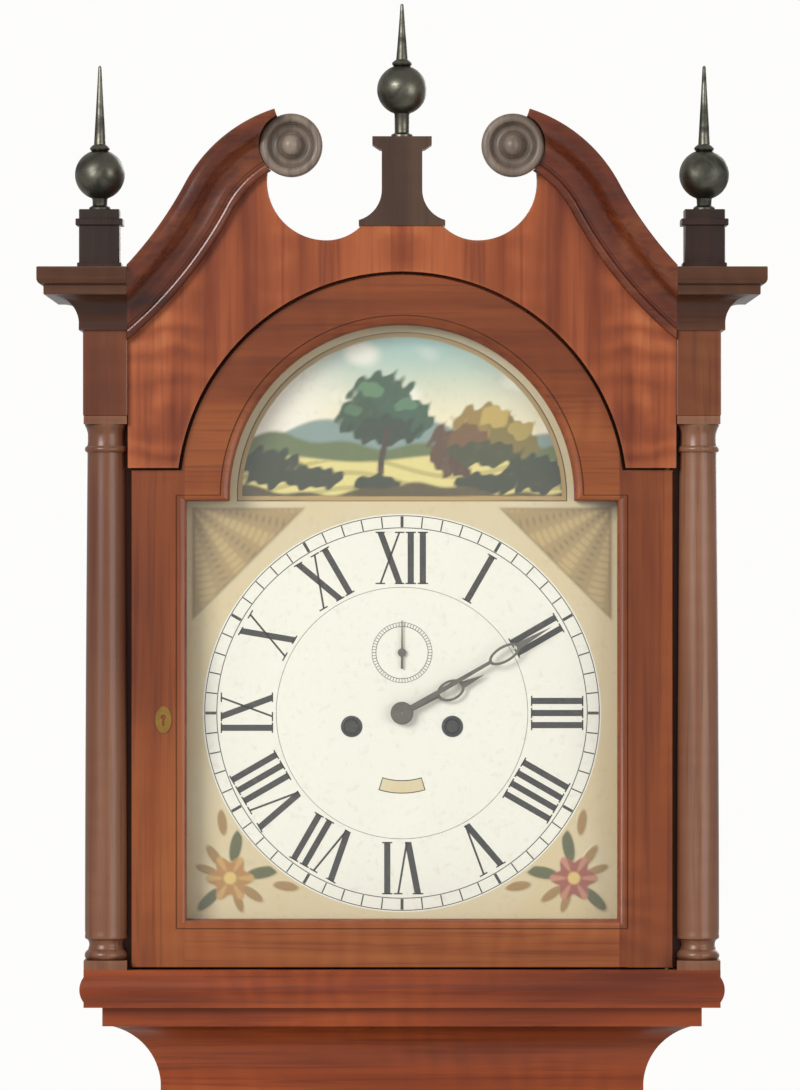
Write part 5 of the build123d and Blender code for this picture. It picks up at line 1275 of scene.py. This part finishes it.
    def spray(self, side: int, top: bool) -> tuple[Surface, np.ndarray]:
        """Corner ornament on a sheet whose height is half a millimetre times its cover.

        Args:
            side: -1 for the left, 1 for the right.
            top: whether it is an upper corner.

        Returns:
            The painted cells and their colours.
        """
        along = np.linspace(0, self.sheet, self.sheet_cells)
        a, b = np.meshgrid(along, along)
        x = side * (160.0 - a)
        z = (ARCH_Z - 3.5 - b) if top else (1680.5 + b)
        from_disc = np.hypot(x, z - DIAL_Z) - self.disc_clear_r
        cover, paint = self.fan(a, b, from_disc) if top else self.flower(a, b, from_disc, side > 0)
        points = np.stack((x, self.front - 0.06 - 0.5 * cover, z), -1)
        if (side > 0) == top:
            points, paint, cover = points[:, ::-1], paint[:, ::-1], cover[:, ::-1]
        return covered(points, paint, cover)

    def build(self) -> None:
        """Makes the dial and its hands."""
        dressed("dial_plate", DIAL_PAINT)
        piece("chapter", self.chapter(), BLACK_PAINT, "case", smooth=0)
        piece("date_slot", self.sector(50, 60, 17, self.front - 0.06), BLACK_PAINT, "case", smooth=0)
        piece("date_disc", self.sector(50.7, 59.3, 16.3, self.front - 0.1), DATE_PAINT, "case", smooth=0)
        surface, colours = self.picture()
        piece("arch_picture", surface, PICTURE, "case", colours=colours)
        for side, hand in ((-1, "left"), (1, "right")):
            for top, level in ((True, "upper"), (False, "lower")):
                surface, colours = self.spray(side, top)
                piece(f"{level}_{hand}_spray", surface, PICTURE, "case", colours=colours)
        front = self.front
        profile = line((5.6, front + 5), (5.6, front - 0.7), (6.2, front - 1.2), (7.6, front - 0.9),
                       (8.0, front - 0.02), (5.95, front - 0.02), (5.95, front + 5))
        # The dark eyes line the winding holes and stand in for the shade inside them.
        for side, name in ((-1, "strike"), (1, "going")):
            eye = turned(profile, (side * 37.5, DIAL_Z - 10), upright=False)
            piece(f"{name}_winding_eye", eye, BLUED_HOLE_SHADE, "case")
        dressed("minute_hand", HAND_STEEL, bevel=0.15)
        dressed("hour_hand", HAND_STEEL, bevel=0.15)
        dressed("seconds_hand", HAND_STEEL, bevel=0.1)


@dataclass
class Movement:
    """The movement, pendulum, weights and lines."""

    line_r: float = 0.9
    drop_r: float = 25.0
    weight_y: float = 9.0
    pulley_z: float = 520.0
    barrel_z: float = DIAL_Z - 10.0
    seat_z: float = DIAL_Z - 60.0
    travel: float = 1099.5
    weight_low: float = 160.0
    weight_high: float = 460.0
    weight_r: float = 29.0
    hook_top: float = 489.0
    weight_x: float = 37.5

    def falls(self, name: str, side: int) -> None:
        """The two straight falls of one line, made at one fixed length, and its turn.

        Args:
            name: going or strike.
            side: 1 for the right, -1 for the left.
        """
        x, y = side * self.weight_x, self.weight_y
        ends = (("a", x - self.drop_r, self.barrel_z, (f"{name}_line",)),
                ("b", x + self.drop_r, self.seat_z, ()))
        for letter, place, top, nodes in ends:
            bar = tube(place, y, self.line_r, self.pulley_z, top)
            fall = piece(f"{name}_fall_{letter}", bar, GUT, "case", nodes, smooth=50)
            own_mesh(fall)
        way = np.radians(np.linspace(180, 360, 49))[:, None]
        turn = np.linspace(0, 2 * pi, 12, endpoint=False)[None]
        reach = self.drop_r + self.line_r * np.cos(turn)
        deep = np.broadcast_to(y + self.line_r * np.sin(turn), (49, 12))
        points = np.stack((x + reach * np.cos(way), deep, self.pulley_z + reach * np.sin(way)), -1)
        bend = grid(points, close_cols=True, caps=True)
        piece(f"{name}_line_turn", bend, GUT, f"{name}_weight", smooth=50)

    def weight(self, x: float) -> Surface:
        """Weight: straight sides with rounded ends, and the hook's stem."""
        low, high, r = self.weight_low, self.weight_high, self.weight_r
        profile = line((0, low), (r - 6, low), through((r - 6, low), (r - 1.8, low + 1.8), (r, low + 6), 6),
                       (r, high - 10), through((r, high - 10), (r - 6, high - 2.5), (8, high)), (0, high))
        hook = tube(x, self.weight_y, 2.5, high, self.hook_top)
        return turned(profile, (x, self.weight_y), sides=72) + hook

    def build(self) -> None:
        """Makes the pieces of the movement."""
        bell_z = DIAL_Z + 135
        shell = line((45, -9), (43, -9), through((43, -9), (30.6, 8), (3, 16), 16), (3, 18),
                     through((3, 18), (32, 11), (45, -9), 16))
        gong = turned(shell, (-2, bell_z), upright=False)
        stand = turned(line((0, 11), (3, 11), (3, 42), (0, 42)), (-2, bell_z), upright=False, sides=24)
        stand += box((-7, 3), (38, 42), (DIAL_Z + 74, bell_z + 5))
        piece("bell_and_stand", gong + stand, BELL, "case", ("bell",))
        bob = line((0, 42), through((0, 42), (33, 45.9), (55, 54.5), 24), (55, 57.5),
                   through((55, 57.5), (33, 66.1), (0, 70), 24))
        piece("bob", turned(bob, (0, DIAL_Z + 69 - 994), upright=False), BRASS, "pendulum", ("pendulum_bob",))
        for side, name in ((1, "going"), (-1, "strike")):
            body, iron = f"{name}_weight", self.weight(side * self.weight_x)
            piece(f"{name}_weight_iron", iron, IRON, body, (body,))
            dressed(f"{name}_pulley", BRASS)
            self.falls(name, side)
        steel = ("pendulum_rod", "anchor", "hammer", "plate_pillars", "fly")
        brass = ("front_plate", "back_plate", "back_cock", "going_great_wheel", "going_barrel",
                 "centre_wheel", "third_wheel", "escape_wheel", "minute_wheel", "hour_wheel",
                 "strike_great_wheel", "strike_barrel", "pin_wheel", "gathering_wheel", "warning_wheel")
        for node in steel:
            dressed(node, STEEL)
        for node in brass:
            dressed(node, BARREL_BRASS if node.endswith("barrel") else BRASS)


@dataclass
class Studio:
    """Pale floor, soft lamps, white surroundings and the camera."""

    camera_at: tuple[float, float, float] = (-0.0015, -6.1, 1.9585)
    frame_height: float = 0.8066
    frame_y: float = -0.1
    sensor: float = 36.0
    floor_half: float = 5.0
    floor_clear: tuple[float, float] = (0.9, 3.2)
    ambient: float = 0.32
    seen_more: float = 0.66
    glossy_share: float = 0.3

    def lamp(self, name: str, at: tuple, aim: tuple, size: float, power: float) -> None:
        """Square soft lamp that faces a point.

        Args:
            name: name of the lamp.
            at: its place in metres.
            aim: the point it faces.
            size: its side in metres.
            power: its power in watts.
        """
        light = bpy.data.lights.new(name, "AREA")
        light.size, light.energy = size, power
        lamp = bpy.data.objects.new(name, light)
        lamp.location = at
        way = np.array(aim) - np.array(at)
        lamp.rotation_euler = (pi / 2 + atan2(way[2], np.hypot(way[0], way[1])), 0, atan2(-way[0], way[1]))
        bpy.context.scene.collection.objects.link(lamp)

    def surroundings(self) -> None:
        """World: white to the eye and in reflections, softer as light."""
        world = bpy.data.worlds.new("surroundings")
        world.use_nodes = True
        bpy.context.scene.world = world
        nodes = Nodes(world.node_tree)
        seen = nodes.add("LightPath").outputs
        either = nodes.math("MAXIMUM", seen["Is Camera Ray"], seen["Is Transmission Ray"])
        glossy = nodes.math("MULTIPLY", seen["Is Glossy Ray"], self.glossy_share)
        either = nodes.math("MAXIMUM", either, glossy)
        strength = nodes.math("ADD", nodes.math("MULTIPLY", either, self.seen_more), self.ambient)
        back = world.node_tree.nodes["Background"]
        back.inputs["Color"].default_value = (1.0, 0.995, 0.985, 1)
        nodes.feed(back.inputs["Strength"], strength)

    def build(self) -> None:
        """Makes the floor, lamps, world and camera."""
        floor = bpy.data.meshes.new("floor")
        half = self.floor_half
        corners = [(-half, -half, 0), (half, -half, 0), (half, half, 0), (-half, half, 0)]
        floor.from_pydata(corners, [], [(0, 1, 2, 3)])
        ground = bpy.data.objects.new("floor", floor)
        bpy.context.scene.collection.objects.link(ground)
        material, nodes, shader, place = start_material("pale_floor")
        shade = nodes.mix(nodes.noise(place, 3.0, 3.0), (0.80, 0.79, 0.77, 1), (0.83, 0.82, 0.80, 1))
        reach = nodes.add("VectorMath", {0: place}, operation="LENGTH").outputs["Value"]
        nodes.feed(shader.inputs["Base Color"], shade)
        nodes.feed(shader.inputs["Alpha"], nodes.math("SUBTRACT", 1.0, nodes.span(reach, *self.floor_clear)))
        shader.inputs["Roughness"].default_value = 0.7
        floor.materials.append(material)
        self.lamp("key", (-2.3, -3.6, 3.3), (0, 0, 1.7), 1.8, 150)
        self.lamp("fill", (2.8, -3.4, 2.2), (0, 0, 1.5), 2.6, 60)
        self.lamp("back", (1.5, 3.4, 3.0), (0, 0, 1.4), 2.4, 50)
        self.surroundings()
        data = bpy.data.cameras.new("camera")
        data.sensor_fit, data.sensor_height = "VERTICAL", self.sensor
        data.lens = self.sensor * (self.frame_y - self.camera_at[1]) / self.frame_height
        data.clip_end = 60
        camera = bpy.data.objects.new("camera", data)
        camera.location, camera.rotation_euler = self.camera_at, (pi / 2, 0, 0)
        bpy.context.scene.collection.objects.link(camera)
        bpy.context.scene.camera = camera
        bpy.context.scene.view_settings.view_transform = "Standard"


def main() -> None:
    """Builds the studio and then the clock, from the hood down."""
    logging.basicConfig(level=logging.INFO, format="%(message)s")
    for part in (Studio(), Hood(), Case(), Dial(), Movement()):
        part.build()
    left = [name for name, node in frame["nodes"].items() if not node.hide_render]
    LOG.info("packed solids still showing: %s", left)


if __name__ == "__main__":
    main()
